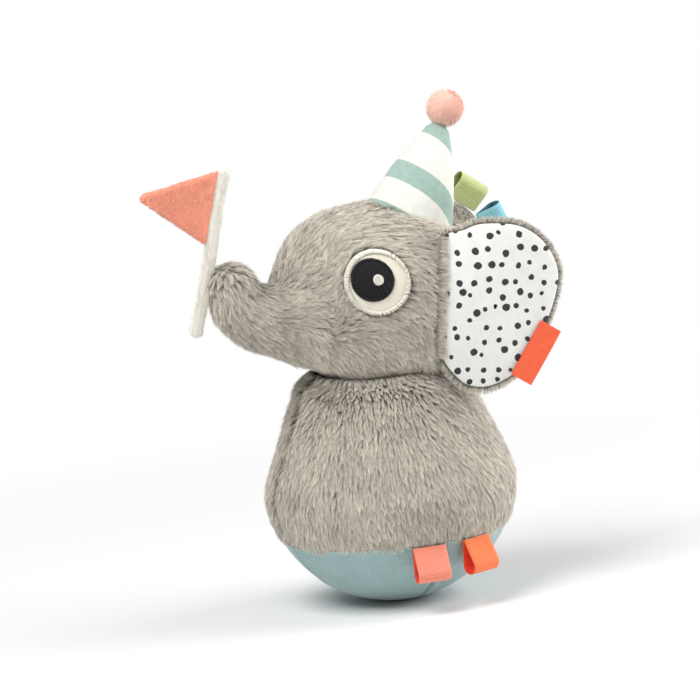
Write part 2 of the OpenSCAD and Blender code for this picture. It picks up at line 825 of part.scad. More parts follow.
module clapper() {
    color(brass_tone)
        difference() {
            union() {
                translate([0, 0, pin_z])
                    rotate([0, 90, 0])
                        cylinder(r = eye_ring_r, h = eye_ring_w, center = true);
                translate([0, 0, ball_z])
                    cylinder(r = clapper_rod_r, h = clapper_l);
                translate([0, 0, ball_z])
                    sphere(r = ball_r);
            }
            translate([0, 0, pin_z])
                rotate([0, 90, 0])
                    cylinder(r = pin_r + pin_gap, h = hub_r, center = true);
        }
}

// Body

module body_panel_left() { body_panel(); }
module body_panel_right() { mirror([1, 0, 0]) body_panel(); }

module body_stuffing() {
    color(wadding_tone)
        rotate_extrude()
            difference() {
                intersection() {
                    polygon(concat([[0, body_low_z]], body_outline(plush_t + seat_gap), [[0, neck_z]]));
                    translate([0, flange_top_z + seat_gap])
                        square([body_r, neck_z]);
                }
                dome_outline(dome_r + seat_gap);
            }
}

// Head

module head_panel_left() { color(plush_tone) head_skin(gusset_angle, 180, panel_steps); }
module head_panel_right() { mirror([1, 0, 0]) head_panel_left(); }
module head_gusset() { color(plush_tone) head_skin(-gusset_angle, gusset_angle, gusset_steps); }

module head_stuffing() {
    sides = 2 * panel_steps + 2;
    points = [
        for (i = [0:head_rings]) let (
            r = inset_ring(i, plush_t + stuffing_gap),
            end = min(neck_angle(inset_ring(i, plush_t)), stuffing_end)
        ) for (k = [0:sides - 1]) let (
            side = k > panel_steps ? -1 : 1,
            step = side > 0 ? k : sides - 1 - k,
            p = ring_point(r, side * (gusset_angle + (end - gusset_angle) * step / panel_steps))
        ) [p[0], p[1], max(p[2], neck_plane_z)]
    ];
    function at(i, k) = i * sides + k % sides;
    color(wadding_tone)
        polyhedron(points = points, faces = concat(
            [for (i = [0:head_rings - 1], k = [0:sides - 1],
                f = two(at(i, k), at(i, k + 1), at(i + 1, k + 1), at(i + 1, k))) f],
            [[for (k = [0:sides - 1]) at(0, k)]],
            [[for (k = [sides - 1:-1:0]) at(head_rings, k)]]
        ));
}

// Eyes

module eye_patch() {
    color(cream_tone)
        eye_layer(-eye_ahead, eye_z, glint_r / 2, eye_r, patch_rings, seat_gap, eye_t);
}
module eye_rim() {
    color(cotton_tone)
        eye_layer(-eye_ahead, eye_z, eye_r - eye_rim_w, eye_r, 1, 2 * seat_gap + eye_t, stitch_t);
}
module pupil() {
    color(black_tone)
        eye_layer(pupil_y, pupil_z, glint_r / 2, pupil_r, patch_rings, 2 * seat_gap + eye_t, stitch_t);
}
module eye_glint() {
    color(cotton_tone)
        eye_layer(
            pupil_y + glint_back_share * eye_r, pupil_z, least_ring_r, glint_r, 1,
            3 * seat_gap + eye_t + stitch_t, stitch_t
        );
}
module left_eye_patch() { eye_patch(); }
module left_eye_rim() { eye_rim(); }
module left_pupil() { pupil(); }
module left_eye_glint() { eye_glint(); }
module right_eye_patch() { mirror([1, 0, 0]) eye_patch(); }
module right_eye_rim() { mirror([1, 0, 0]) eye_rim(); }
module right_pupil() { mirror([1, 0, 0]) pupil(); }
module right_eye_glint() { mirror([1, 0, 0]) eye_glint(); }

// Ears and their trim

module ear_front() {
    color(cotton_tone)
        ear_place()
            ear_leaf(
                ear_sheet(-ear_rim_w, 0, 0),
                ear_sheet(-ear_rim_w, ear_front_t, ear_front_edge_t)
            );
}
module ear_back() {
    color(plush_tone)
        ear_place()
            ear_leaf(
                ear_sheet(0, -ear_back_t, -ear_back_edge_t - seat_gap),
                ear_sheet(0, -seat_gap, -seat_gap)
            );
}
module left_ear_front() { ear_front(); }
module left_ear_back() { ear_back(); }
module right_ear_front() { mirror([1, 0, 0]) ear_front(); }
module right_ear_back() { mirror([1, 0, 0]) ear_back(); }

module ear_label() {
    p = ear_spot(label_share);
    color(orange_tone)
        ear_place()
            translate([label_x, p[0], p[1]])
                rotate([ear_heading(label_share), 0, 0])
                    translate([0, -label_l / 2, -ear_seam_inset])
                        cube([label_t, label_l, label_w]);
}
module ear_loop_green() { color(green_tone) ear_loop(green_share); }
module ear_loop_blue() { color(blue_tone) ear_loop(blue_share); }
module base_loop_coral() { color(coral_tone) base_loop(coral_angle); }
module base_loop_orange() { color(orange_tone) base_loop(orange_angle); }

// Hat

module hat_cone() {
    color(sage_tone)
        difference() {
            hat_place()
                rotate_extrude()
                    polygon(concat(
                        [[hat_r, -hat_skirt]], hat_profile(0), [[0, hat_l], [0, hat_l - hat_t]],
                        [for (p = reversed(hat_profile(hat_t))) if (p[1] < hat_l - hat_t) p],
                        [[hat_r - hat_t, -hat_skirt]]
                    ));
            crown_round(seat_gap);
        }
}
module hat_stuffing() {
    inset = hat_t + seat_gap;
    color(wadding_tone)
        difference() {
            hat_place()
                rotate_extrude()
                    polygon(concat(
                        [[0, -hat_skirt], [hat_r - inset, -hat_skirt]],
                        [for (p = hat_profile(inset)) if (p[1] < hat_l - inset) p],
                        [[0, hat_l - inset]]
                    ));
            crown_round(seat_gap);
        }
}
module hat_pompom() {
    color(peach_tone)
        hat_place()
            translate([0, 0, hat_l + seat_gap])
                intersection() {
                    translate([0, 0, pom_flat])
                        sphere(r = pom_r);
                    translate([-pom_r, -pom_r, 0])
                        cube(2 * pom_r);
                }
}

// Flag

module flag_pole() {
    color(cream_tone)
        flag_place()
            translate([-strip_t / 2, -strip_w, -strip_hold_share * strip_l])
                cube([strip_t, strip_w, strip_l]);
}
module flag_front() { pennant_layer(1); }
module flag_back() { pennant_layer(-1); }

base_gore_front_left();
base_gore_back_left();
base_gore_back_right();
base_gore_front_right();
rocker_bowl();
counterweight();
counterweight_screws();
rocker_dome();
dome_screws();
chime_hub();
chime_hub_screw();
chime_rods();
clapper_pin();
clapper();
body_panel_left();
body_panel_right();
body_stuffing();
head_panel_left();
head_panel_right();
head_gusset();
head_stuffing();
left_eye_patch();
left_eye_rim();
left_pupil();
left_eye_glint();
right_eye_patch();
right_eye_rim();
right_pupil();
right_eye_glint();
left_ear_front();
left_ear_back();
right_ear_front();
right_ear_back();
ear_label();
ear_loop_green();
ear_loop_blue();
base_loop_coral();
base_loop_orange();
hat_cone();
hat_stuffing();
hat_pompom();
flag_pole();
flag_front();
flag_back();
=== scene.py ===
import json
import math
from collections import namedtuple
from functools import partial
from itertools import product

import bpy
import numpy as np
from mathutils import Matrix, Vector
from mathutils.kdtree import KDTree


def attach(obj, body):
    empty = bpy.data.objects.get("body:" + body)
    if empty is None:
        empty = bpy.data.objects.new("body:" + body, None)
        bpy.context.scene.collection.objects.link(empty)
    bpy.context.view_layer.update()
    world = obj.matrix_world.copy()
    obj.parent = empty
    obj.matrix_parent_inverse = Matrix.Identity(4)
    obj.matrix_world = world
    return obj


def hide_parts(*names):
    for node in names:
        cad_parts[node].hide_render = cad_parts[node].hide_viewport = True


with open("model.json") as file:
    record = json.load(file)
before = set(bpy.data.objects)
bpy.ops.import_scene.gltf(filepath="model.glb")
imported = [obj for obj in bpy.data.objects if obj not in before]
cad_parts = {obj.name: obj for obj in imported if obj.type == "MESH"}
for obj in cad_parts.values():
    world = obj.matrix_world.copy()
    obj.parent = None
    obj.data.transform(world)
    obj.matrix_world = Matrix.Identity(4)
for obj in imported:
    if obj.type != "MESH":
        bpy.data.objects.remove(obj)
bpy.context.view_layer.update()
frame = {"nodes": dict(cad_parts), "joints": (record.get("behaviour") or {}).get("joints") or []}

# Roly-poly elephant: the looks of a plush toy on a round base. Lengths are in millimetres, and
# turn to metres as they go to Blender. The front is -Y, the toy's own left is +X.
MM = 0.001
SCENE = bpy.context.scene

# Sizes of the part, as in its source
BASE_R, FOOT_CUT, SEAM_Z, GORE_TURN = 55.5, 0.5, 31.0, 5.0
BODY_R, NECK_Z, NECK_R, SEAT_GAP = 54.4, 104.0, 33.6, 0.3
HEAD_W, HEAD_RISE, HEAD_UP, HEAD_DROP, HEAD_FRONT, HEAD_BACK = 72.6, 36.0, 36.2, 62.0, 40.0, 47.2
TRUNK_R, TRUNK_REACH, TRUNK_LIFT, TRUNK_DROP, GUSSET_ANGLE = 16.0, 24.5, 16.5, 8.0, 13.0
EYE_R, EYE_RIM_W, PUPIL_R, GLINT_R, EYE_T, STITCH_T = 14.2, 1.9, 9.4, 2.5, 1.2, 0.8
EYE_AHEAD, EYE_UP = 9.6, 6.6
EAR_W, EAR_H, EAR_FRONT_T, EAR_BACK_T, EAR_LEAN, EAR_FLARE = 55.0, 74.6, 2.4, 4.2, 7.0, 6.0
RIBBON_W, RIBBON_T, LOOP_GAP, BASE_LOOP_L, EAR_LOOP_L, LOOP_CLEAR = 15.0, 0.8, 6.0, 15.5, 12.5, 0.7
CORAL_ANGLE, ORANGE_ANGLE, BASE_LOOP_OUT = -4.0, 23.0, 12.0
LABEL_L, LABEL_W, LABEL_T, LABEL_X, LABEL_INSET = 27.0, 10.5, 1.0, 1.62, 4.0
HAT_R, HAT_TOP_R, HAT_L, HAT_BULGE, HAT_LEAN, POM_R = 19.6, 4.0, 42.0, 1.6, 25.0, 8.4
HAT_FOOT = (0, 21.0, 167.63)
STRIP_L, STRIP_W, STRIP_T, STRIP_LEAN, STRIP_HOLD_SHARE = 75.0, 5.8, 2.4, 16.0, 0.32
PENNANT_H, PENNANT_L, PENNANT_T, PENNANT_ROUND, PENNANT_TOP_GAP = 33.0, 33.0, 1.1, 2.5, 1.5

# Places that follow from them, and the seams that the moving pieces swing on
HEAD_Z = NECK_Z + HEAD_RISE
BASE_Z = BASE_R - FOOT_CUT
SEAM_R = math.sqrt(BASE_R**2 - (BASE_Z - SEAM_Z) ** 2)
EYE_Z = HEAD_Z + EYE_UP
SEAMS = {joint["name"]: [v / MM for v in joint["pos_m"]] for joint in frame["joints"]}
EAR_ROOT = SEAMS["left_ear_flap"]

# Outlines as shares of those sizes, as in the part's source
BODY_LOW_SHARES = [[0, 0], [0.07, 0.45], [0.16, 0.87], [0.25, 1]]
BODY_HIGH_SHARES = [[0.34, 0.955], [0.5, 0.75], [0.68, 0.46], [0.85, 0.17], [1, 0]]
TRUNK_SHARES = [
    [1, 1, 72, 0.72, 0.63], [0.925, 0.58, 52, 0.81, 0.775], [0.64, 0.19, 28, 0.89, 0.89], [0.3, 0, 8, 1, 1],
]
HEAD_SHARES = [
    [-1, 0.18, 0.54, 0.62, 0.363, 2], [-0.775, 0.097, 0.744, 0.856, 0.5, 2.2],
    [-0.45, 0.028, 0.909, 0.967, 0.84, 2.5], [0, 0, 0.99, 1, 1, 2.5], [0.318, 0, 1, 0.953, 0.968, 2.5],
    [0.593, 0.028, 0.917, 0.818, 0.742, 2.5], [0.784, 0.042, 0.758, 0.63, 0.452, 2.4],
    [0.911, 0.042, 0.551, 0.409, 0.258, 2.2], [0.979, 0.042, 0.289, 0.193, 0.121, 2],
    [1, 0.042, 0.016, 0.017, 0.01, 2],
]
TIP_ANGLES, TIP_ROUND_SHARE = [86, 62, 34], 0.92
EAR_OUTLINE_SHARES = [
    [0.034, 0.366], [0.2, 0.418], [0.36, 0.457], [0.65, 0.448], [0.86, 0.357], [0.99, 0.206],
    [1, 0.058], [0.92, -0.151], [0.8, -0.299], [0.68, -0.446], [0.476, -0.534], [0.315, -0.543],
    [0.187, -0.5], [0.035, -0.362], [0.004, -0.17], [0.018, 0.127],
]
EAR_MIDDLE_SHARES, EAR_FULL_SHARE = (0.46, -0.045), 0.35
GREEN_SHARE, BLUE_SHARE, LABEL_SHARE = 0.2156, 0.2906, 0.5063
PUPIL_AHEAD_SHARE, PUPIL_UP_SHARE, GLINT_BACK_SHARE = 0.155, 0.1, 0.15
CROWN_FIT_SHARE, CROWN_GAP = 1.425, 1.2

rng = np.random.default_rng(11)


# Small helpers

def size(v):
    """The length of each vector."""
    return np.linalg.norm(v, axis=-1)


def unit(v):
    return v / np.maximum(size(v)[..., None], 1e-9)


def dot(a, b):
    return (a * b).sum(-1, keepdims=True)


def stacked(*values):
    """Vectors, from an array for each of their parts."""
    return np.stack(np.broadcast_arrays(*values), -1)


def smooth(low, high, v):
    """A soft step from 0 at low to 1 at high."""
    t = np.clip((v - low) / (high - low), 0, 1)
    return t * t * (3 - 2 * t)


def bell(v, width):
    """A soft ridge, 1 high where v is 0."""
    return np.exp(-((v / width) ** 2))


def powered(v, power):
    return np.sign(v) * np.abs(v) ** power


def arc(start, end, count):
    """Angles from one to another, given in degrees, in radians."""
    return np.radians(np.linspace(start, end, count))


def bunched(count):
    """Values from -1 to 1 that lie closer together towards both ends."""
    return np.sin(arc(-90, 90, count))


def ringed(r, a, *z):
    """Places at radius r and angle a round an axis, perhaps with their height along it."""
    return stacked(r * np.cos(a), r * np.sin(a), *z)


def run_along(points):
    """The length from the first point of each row to each of its points."""
    steps = size(np.diff(points, axis=-2))
    return np.concatenate([0 * steps[..., :1], np.cumsum(steps, axis=-1)], -1)


def bend(a, b, c, d, t):
    """A smooth curve from b to c at t from 0 to 1, with its neighbours a and d."""
    square, cube = (2 * a - 5 * b + 4 * c - d) * t**2, (3 * b - a - 3 * c + d) * t**3
    return b + (c - a) * t / 2 + square / 2 + cube / 2


def spline(knots, s, closed=False):
    """The smooth curve through the knots, read at each s from 0 to the number of spans."""
    k, s = np.asarray(knots, float), np.asarray(s, float)
    n = len(k)
    i = np.floor(s).astype(int) if closed else np.clip(np.floor(s).astype(int), 0, n - 2)
    near = [(i + j) % n if closed else np.clip(i + j, 0, n - 1) for j in (-1, 0, 1, 2)]
    return bend(*(k[j] for j in near), (s - i)[..., None])


def noise(points, scale, seed):
    """Smooth seeded noise from -1 to 1, with features of about that scale."""
    q = np.asarray(points, float) / scale
    cell = np.floor(q).astype(np.int64)
    f = smooth(0, 1, q - cell)
    total = np.zeros(q.shape[:-1])
    for corner in product((0, 1), repeat=3):
        c = cell + np.array(corner)
        mixed = (c[..., 0] * 73856093) ^ (c[..., 1] * 19349663) ^ (c[..., 2] * 83492791) ^ (seed * 2654435761)
        mixed = ((mixed & 0xFFFFFFFF) * 1103515245 + 12345) & 0x7FFFFFFF
        weight = np.prod(np.where(np.array(corner) == 1, f, 1 - f), axis=-1)
        total += weight * (((mixed >> 8) & 0xFFFF) / 32767.5 - 1)
    return total


def turned(angles=(0, 0, 0), move=(0, 0, 0)):
    """The matrix of a turn about x, then y, then z, in degrees, and then a move."""
    x, y, z = (math.radians(a) for a in angles)
    turn = Matrix.Rotation(z, 4, "Z") @ Matrix.Rotation(y, 4, "Y") @ Matrix.Rotation(x, 4, "X")
    return np.array(Matrix.Translation(move) @ turn)


def placed(points, *matrices):
    """Points moved by each matrix in turn, the last one first."""
    p = np.asarray(points, float)
    for m in reversed(matrices):
        p = p @ m[:3, :3].T + m[:3, 3]
    return p


MIRROR_X = np.diag([-1.0, 1, 1, 1])
MIRROR_Z = np.diag([1.0, 1, -1, 1])
SIDES = {"left": np.eye(4), "right": MIRROR_X}
LEVEL = np.array([1, 1, 0])


# Meshes

def grid_faces(rows, cols, wrap=False, flip=False):
    """Quads between the points of a grid, whose last column joins the first one if it wraps."""
    i, j = np.meshgrid(np.arange(rows - 1), np.arange(cols if wrap else cols - 1), indexing="ij")
    k = (j + 1) % cols
    faces = stacked(i * cols + j, (i + 1) * cols + j, (i + 1) * cols + k, i * cols + k).reshape(-1, 4)
    return faces[:, ::-1] if flip else faces


class Build:
    """Collects the points and faces of one piece, with a material and a print place for each."""

    def __init__(self):
        self.points, self.uvs, self.normals, self.faces, self.slots = [], [], [], [], []

    def add(self, points, faces, slot=0, uv=(0, 0), normals=(0, 0, 0)):
        """Adds points with arrays of faces. Points without a normal get the mesh's own."""
        p = np.reshape(points, (-1, 3))
        start = sum(len(q) for q in self.points)
        self.points.append(p)
        self.uvs.append(np.broadcast_to(np.reshape(uv, (-1, 2)), (len(p), 2)))
        self.normals.append(np.broadcast_to(np.reshape(normals, (-1, 3)), p.shape))
        for f in faces:
            self.faces.append(f + start)
            self.slots.append(np.full(len(f), slot))
        return self

    def grid(self, points, wrap=False, uv=(0, 0), flip=False):
        return self.add(points, [grid_faces(*points.shape[:2], wrap, flip)], uv=uv)

    def moved(self, *matrices):
        """The same piece moved by matrices, and turned inside out where they mirror it."""
        self.points = [placed(p, *matrices) for p in self.points]
        self.normals = [placed(n, *matrices) - placed(n * 0, *matrices) for n in self.normals]
        if np.prod([np.linalg.det(m[:3, :3]) for m in matrices]) < 0:
            self.faces = [f[:, ::-1] for f in self.faces]
        return self


def linked(name, data):
    made = bpy.data.objects.new(name, data)
    SCENE.collection.objects.link(made)
    return made


def read_vectors(mesh, key):
    values = np.zeros(len(mesh.vertices) * 3, np.float32)
    mesh.vertices.foreach_get(key, values)
    return values.reshape(-1, 3)


def stand_for(piece, body, nodes):
    """Makes a piece ride on a body and stand for CAD nodes."""
    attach(piece, body)
    if nodes:
        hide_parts(*nodes)


def make_piece(name, build, materials, body, nodes, uv_name="print"):
    """A mesh object of the collected faces, which rides on a body and stands for CAD nodes."""
    points = np.concatenate(build.points) * MM
    loops = np.concatenate([f.ravel() for f in build.faces]).astype(np.int32)
    corners = np.concatenate([np.full(len(f), f.shape[1]) for f in build.faces])
    uvs, normals = np.concatenate(build.uvs), np.concatenate(build.normals)
    mesh = bpy.data.meshes.new(name)
    mesh.vertices.add(len(points))
    mesh.vertices.foreach_set("co", points.astype(np.float32).ravel())
    mesh.loops.add(len(loops))
    mesh.loops.foreach_set("vertex_index", loops)
    mesh.polygons.add(len(corners))
    mesh.polygons.foreach_set("loop_start", (np.cumsum(corners) - corners).astype(np.int32))
    for m in materials:
        mesh.materials.append(m)
    mesh.polygons.foreach_set("material_index", np.concatenate(build.slots).astype(np.int32))
    mesh.update(calc_edges=True)
    mesh.uv_layers.new(name=uv_name).data.foreach_set("uv", uvs[loops].astype(np.float32).ravel())
    mesh.polygons.foreach_set("use_smooth", np.ones(len(corners), bool))
    if np.any(normals):
        given = np.any(normals, axis=1, keepdims=True)
        normals = np.where(given, normals, read_vectors(mesh, "normal"))
        mesh.normals_split_custom_set_from_vertices(unit(normals))
    piece = linked(name, mesh)
    stand_for(piece, body, nodes)
    return piece


# Materials

def srgb(colour, gain=1.0):
    """A colour written as on a screen, 0 to 255, as the linear colour that a shader takes."""
    v = np.array(colour) / 255
    linear = np.where(v <= 0.04045, v / 12.92, ((v + 0.055) / 1.055) ** 2.4)
    return (*np.minimum(gain * linear, 1), 1.0)


class Nodes:
    """A node tree: add() makes a node, and its inputs take values or sockets."""

    def __init__(self, owner):
        owner.use_nodes = True
        self.data, self.tree = owner, owner.node_tree

    def put(self, made, inputs):
        for key, value in inputs.items():
            socket = made.inputs[key.replace("_", " ") if isinstance(key, str) else key]
            if isinstance(value, bpy.types.NodeSocket):
                self.tree.links.new(value, socket)
            else:
                socket.default_value = value

    def add(self, kind, inputs=None, out=0, **settings):
        made = self.tree.nodes.new("ShaderNode" + kind)
        for key, value in settings.items():
            setattr(made, key, value)
        self.put(made, inputs or {})
        return made.outputs[out]

    def math(self, operation, a, b=0.0, c=0.0):
        return self.add("Math", {0: a, 1: b, 2: c}, operation=operation)

    def total(self, *terms):
        """The sum of sockets, each times its weight."""
        amount = 0.0
        for socket, weight in terms:
            amount = self.math("MULTIPLY_ADD", socket, weight, amount)
        return amount

    def seen_ray(self):
        """1 for a ray from the camera, and for one that is mirrored or let through."""
        rays = self.add("LightPath").node.outputs
        seen = self.math("MAXIMUM", rays["Is Camera Ray"], rays["Is Glossy Ray"])
        return self.math("MAXIMUM", seen, rays["Is Transmission Ray"])

    def show(self, output, share, lit, white):
        """Shows the lit shader, and by a share the white one instead."""
        mixed = self.add("MixShader", {0: share, 1: lit, 2: white})
        self.tree.links.new(mixed, self.tree.nodes[output].inputs["Surface"])


class Material(Nodes):
    """A material and its surface shader. Sizes in it are in millimetres."""

    def __init__(self, name, **sockets):
        super().__init__(bpy.data.materials.new(name))
        self.shader = self.tree.nodes["Principled BSDF"]
        self.put(self.shader, sockets)

    def place(self):
        """The place in the toy's own frame."""
        place = self.add("TexCoord", out="Object")
        return self.add("VectorMath", {0: place, "Scale": 1 / MM}, operation="SCALE")

    def print_place(self, name="print"):
        return self.add("UVMap", uv_map=name)

    def axis(self, place, number):
        return self.add("SeparateXYZ", {0: place}, out=number)

    def grain(self, scale, place=None, detail=3.0):
        """Noise from 0 to 1 with features of about that scale."""
        inputs = {"Scale": 1 / scale, "Detail": detail, "Roughness": 0.55}
        return self.add("TexNoise", {"Vector": self.place() if place is None else place, **inputs})

    def waves(self, place, pitch, axis):
        """Rounded ridges from 0 to 1 across one axis, at that pitch."""
        turn = self.math("MULTIPLY", self.axis(place, axis), 2 * math.pi / pitch)
        return self.math("MULTIPLY_ADD", self.math("SINE", turn), 0.5, 0.5)

    def weave(self, place, pitch):
        """A plain weave from 0 to 1: threads each way that pass over and under."""
        shifted = self.add("VectorMath", {0: place, 1: (pitch, pitch / 2, 0)}, operation="ADD")
        over, under = (self.math("MULTIPLY", self.waves(at, 2 * pitch, 0), self.waves(at, pitch, 1))
                       for at in (place, shifted))
        return self.math("MAXIMUM", over, under)

    def woven(self, place, pitch, patch, share=0.5):
        """A weave, and a tone that is a share of it and for the rest patches of that scale."""
        weave = self.weave(place, pitch)
        return weave, self.total((weave, share), (self.grain(patch, place), 1 - share))

    def ramp(self, value, *stops):
        """A colour for each value, from stops with their place, their colour and perhaps a gain."""
        made = self.add("ValToRGB", {0: value})
        points = made.node.color_ramp.elements
        while len(points) < len(stops):
            points.new(0.5)
        for point, (at, *colour) in zip(points, stops):
            point.position, point.color = at, srgb(*colour)
        return made

    def mix(self, value, a, b, blend="MIX"):
        return self.add("Mix", {0: value, 6: a, 7: b}, 2, data_type="RGBA", blend_type=blend)

    def span(self, value, low, high, start=0.0, end=1.0):
        return self.add("MapRange", {0: value, 1: start, 2: end, 3: low, 4: high})

    def bump(self, height, depth, strength=0.5):
        return self.add("Bump", {"Height": height, "Distance": depth * MM, "Strength": strength})

    def finish(self, colour, roughness, normal=None):
        self.put(self.shader, {"Base Color": colour, "Roughness": roughness})
        if normal is not None:
            self.put(self.shader, {"Normal": normal})
        return self.data


PLUSH_TONES, EVEN_TONES = (0.66, 1.22), (0.86, 1.12)
RIB_PITCH, THREAD_PITCH = 1.1, 0.22
INNER_SIDE = 40.0
DOT_PITCH, DOT_RADII, DOT_EDGE = 6.6, (0.14, 0.26), 0.012
STRIPE_TURN, STRIPE_EDGES, STRIPE_BLUR = -70.0, (17.2, 32.5, 41.8, 53.6), 0.15


def pile_material(name, root, low, high, tip, sheen=0.5, tones=PLUSH_TONES):
    """Pile fibres: the print place holds a fibre's tone across and the way from root to tip. The colour
    darkens towards the root: painted shade deep in the pile, between the fibres.
    """
    m = Material(name, Sheen_Weight=sheen, Sheen_Roughness=0.45, Specular_IOR_Level=0.25)
    place = m.print_place("OFBake")
    along = m.axis(place, 1)
    # The dark lower part of each fibre is painted shade deep in the pile
    colour = m.ramp(along, (0.0, root), (0.35, low), (0.72, high), (1.0, tip))
    shade = m.span(m.axis(place, 0), *tones)
    grey = m.add("CombineColor", {0: shade, 1: shade, 2: m.math("MULTIPLY", shade, 0.985)})
    return m.finish(m.mix(1.0, colour, grey, "MULTIPLY"), m.span(along, 0.9, 0.62))


def cloth_material(name, dark, colour, light, grain, relief, sheen=0.2):
    """Cloth of one dye: mottled tone, fine grain in relief, and soft sheen."""
    m = Material(name, Sheen_Weight=sheen, Sheen_Roughness=0.5, Specular_IOR_Level=0.3)
    fine, patch = m.grain(grain, detail=2.0), m.grain(grain * 14)
    shade = m.ramp(m.total((fine, 0.6), (patch, 0.4)), (0.25, dark), (0.5, colour), (0.8, light))
    return m.finish(shade, m.span(fine, 0.95, 0.8), m.bump(fine, relief, 0.6))


def ribbon_material(name, colour, inner):
    """Ribbed ribbon: cross threads in the ribs, and a darker inner face."""
    m = Material(name, Sheen_Weight=0.25, Sheen_Roughness=0.4, Specular_IOR_Level=0.4)
    place = m.print_place()
    threads, ribs = m.waves(place, THREAD_PITCH, 0), m.waves(place, RIB_PITCH, 1)
    shade = m.total((ribs, 0.55), (threads, 0.25), (m.grain(2.5), 0.2))
    tone = m.ramp(shade, (0.1, colour, 0.84), (0.55, colour), (0.95, colour, 1.12))
    inside = m.math("GREATER_THAN", m.axis(place, 0), INNER_SIDE / 2)
    tone = m.mix(inside, tone, m.mix(1.0, tone, srgb(inner), "MULTIPLY"))
    return m.finish(tone, m.span(ribs, 0.85, 0.6), m.bump(threads, 0.06, 0.4))


def thread_material(name, deep, colour, light, gloss):
    """Embroidery thread: silky, with twist marks along it and shade between threads."""
    m = Material(name, Anisotropic=0.4, Specular_IOR_Level=gloss)
    twist = m.waves(m.print_place(), 0.5, 1)
    tone = m.total((m.grain(0.5), 0.6), (twist, 0.4))
    shade = m.ramp(tone, (0.2, deep), (0.5, colour), (0.8, light))
    return m.finish(shade, m.span(tone, 0.6, 0.42), m.bump(twist, 0.05, 0.4))


def plastic_material(name, dark, colour):
    m = Material(name, Specular_IOR_Level=0.5)
    fine, patch = m.grain(0.35, detail=2.0), m.grain(9.0)
    return m.finish(m.ramp(patch, (0.3, dark), (0.7, colour)), m.span(patch, 0.36, 0.52), m.bump(fine, 0.03))


def metal_material(name, dark, colour, rough, grain):
    m = Material(name, Metallic=1.0)
    fine, patch = m.grain(grain, detail=4.0), m.grain(grain * 12)
    tone = m.total((fine, 0.5), (patch, 0.5))
    shade = m.ramp(tone, (0.3, dark), (0.7, colour))
    return m.finish(shade, m.span(tone, rough * 0.7, rough * 1.3), m.bump(fine, 0.08))


def print_material():
    """Off-white cotton with a loose scatter of dark printed dots of several sizes."""
    m = Material("dotted_cotton", Sheen_Weight=0.15, Specular_IOR_Level=0.3)
    place = m.print_place()
    blur = m.add("TexNoise", {"Vector": place, "Scale": 0.45, "Detail": 0.0}, out=1)
    wobble = m.add("VectorMath", {0: blur, 1: (0.5, 0.5, 0.5)}, operation="SUBTRACT")
    shifted = m.add("VectorMath", {0: wobble, 1: (0.7, 0.7, 0.0), 2: place}, operation="MULTIPLY_ADD")
    cells = {"Vector": shifted, "Scale": 1 / DOT_PITCH, "Randomness": 0.6}
    cells = m.add("TexVoronoi", cells, voronoi_dimensions="2D").node.outputs
    radius = m.span(m.add("SeparateColor", {0: cells["Color"]}), *DOT_RADII)
    dot_share = m.span(m.math("SUBTRACT", cells["Distance"], radius), 1.0, 0.0, -DOT_EDGE, DOT_EDGE)
    weave, tone = m.woven(place, 0.42, 6.0)
    cotton = m.ramp(tone, (0.2, (228, 228, 222)), (0.6, (243, 243, 239)), (0.9, (248, 248, 245)))
    ink = m.ramp(m.grain(0.5, place), (0.3, (38, 37, 37)), (0.8, (66, 64, 63)))
    return m.finish(m.mix(dot_share, cotton, ink), m.span(dot_share, 0.85, 0.7), m.bump(weave, 0.06))


def label_material():
    """Bare satin of one colour, with a fine weave."""
    m = Material("label_satin", Sheen_Weight=0.2, Anisotropic=0.4)
    weave, tone = m.woven(m.print_place(), 0.3, 4.0)
    shade = m.ramp(tone, (0.2, (236, 84, 44)), (0.55, (253, 102, 58)), (0.9, (255, 122, 80)))
    return m.finish(shade, m.span(weave, 0.6, 0.45), m.bump(weave, 0.05))


def hat_material():
    """Cotton with slanting bands of two colours, and a fine plain weave."""
    m = Material("hat_cotton", Sheen_Weight=0.2, Sheen_Roughness=0.5, Specular_IOR_Level=0.3)
    place = m.print_place()
    edge = m.total((m.axis(place, 0), 1.0), (m.grain(1.2, place), 0.25))
    weave, tone = m.woven(place, 0.45, 3.0, 0.45)
    sage = m.ramp(tone, (0.2, (142, 169, 159)), (0.5, (162, 188, 177)), (0.85, (178, 202, 191)))
    white = m.ramp(tone, (0.2, (222, 222, 210)), (0.5, (235, 235, 226)), (0.85, (243, 243, 236)))
    bands = 1.0
    for k, at in enumerate(STRIPE_EDGES):
        past = m.span(edge, 0.0, 1.0, at - STRIPE_BLUR, at + STRIPE_BLUR)
        bands = m.math("SUBTRACT" if k % 2 == 0 else "ADD", bands, past)
    return m.finish(m.mix(bands, white, sage), m.span(tone, 0.92, 0.8), m.bump(weave, 0.07))


# The plush's dark roots and its dark backing are painted shade in the gaps between the fibres
plush = pile_material("plush_pile", (116, 110, 100), (190, 183, 170), (228, 220, 207), (248, 242, 231))
strip_velour = pile_material(
    "strip_pile", (240, 236, 226), (244, 241, 232), (247, 244, 237), (250, 248, 243), 0.3, EVEN_TONES)
coral_pile = pile_material(
    "pennant_pile", (255, 150, 120), (255, 174, 145), (255, 202, 180), (255, 240, 230), 0.3, EVEN_TONES)
pom_pile = pile_material(
    "pompom_pile", (250, 176, 152), (255, 212, 195), (255, 226, 214), (255, 243, 236), 0.5, EVEN_TONES)
# A backing as dark as the pile's roots: painted shade under the pile
plush_back = cloth_material("plush_backing", (104, 99, 91), (122, 116, 107), (136, 130, 120), 0.8, 0.2)
jersey = cloth_material("base_jersey", (130, 160, 160), (152, 181, 180), (172, 199, 197), 0.8, 0.16, 0.35)
felt_cream = cloth_material("eye_felt", (220, 213, 194), (236, 231, 214), (244, 240, 226), 0.5, 0.12)
strip_cloth = cloth_material("strip_backing", (238, 231, 217), (247, 242, 231), (250, 246, 237), 0.6, 0.1)
coral_back = cloth_material("pennant_backing", (252, 146, 115), (255, 164, 134), (255, 178, 150), 0.6, 0.15)
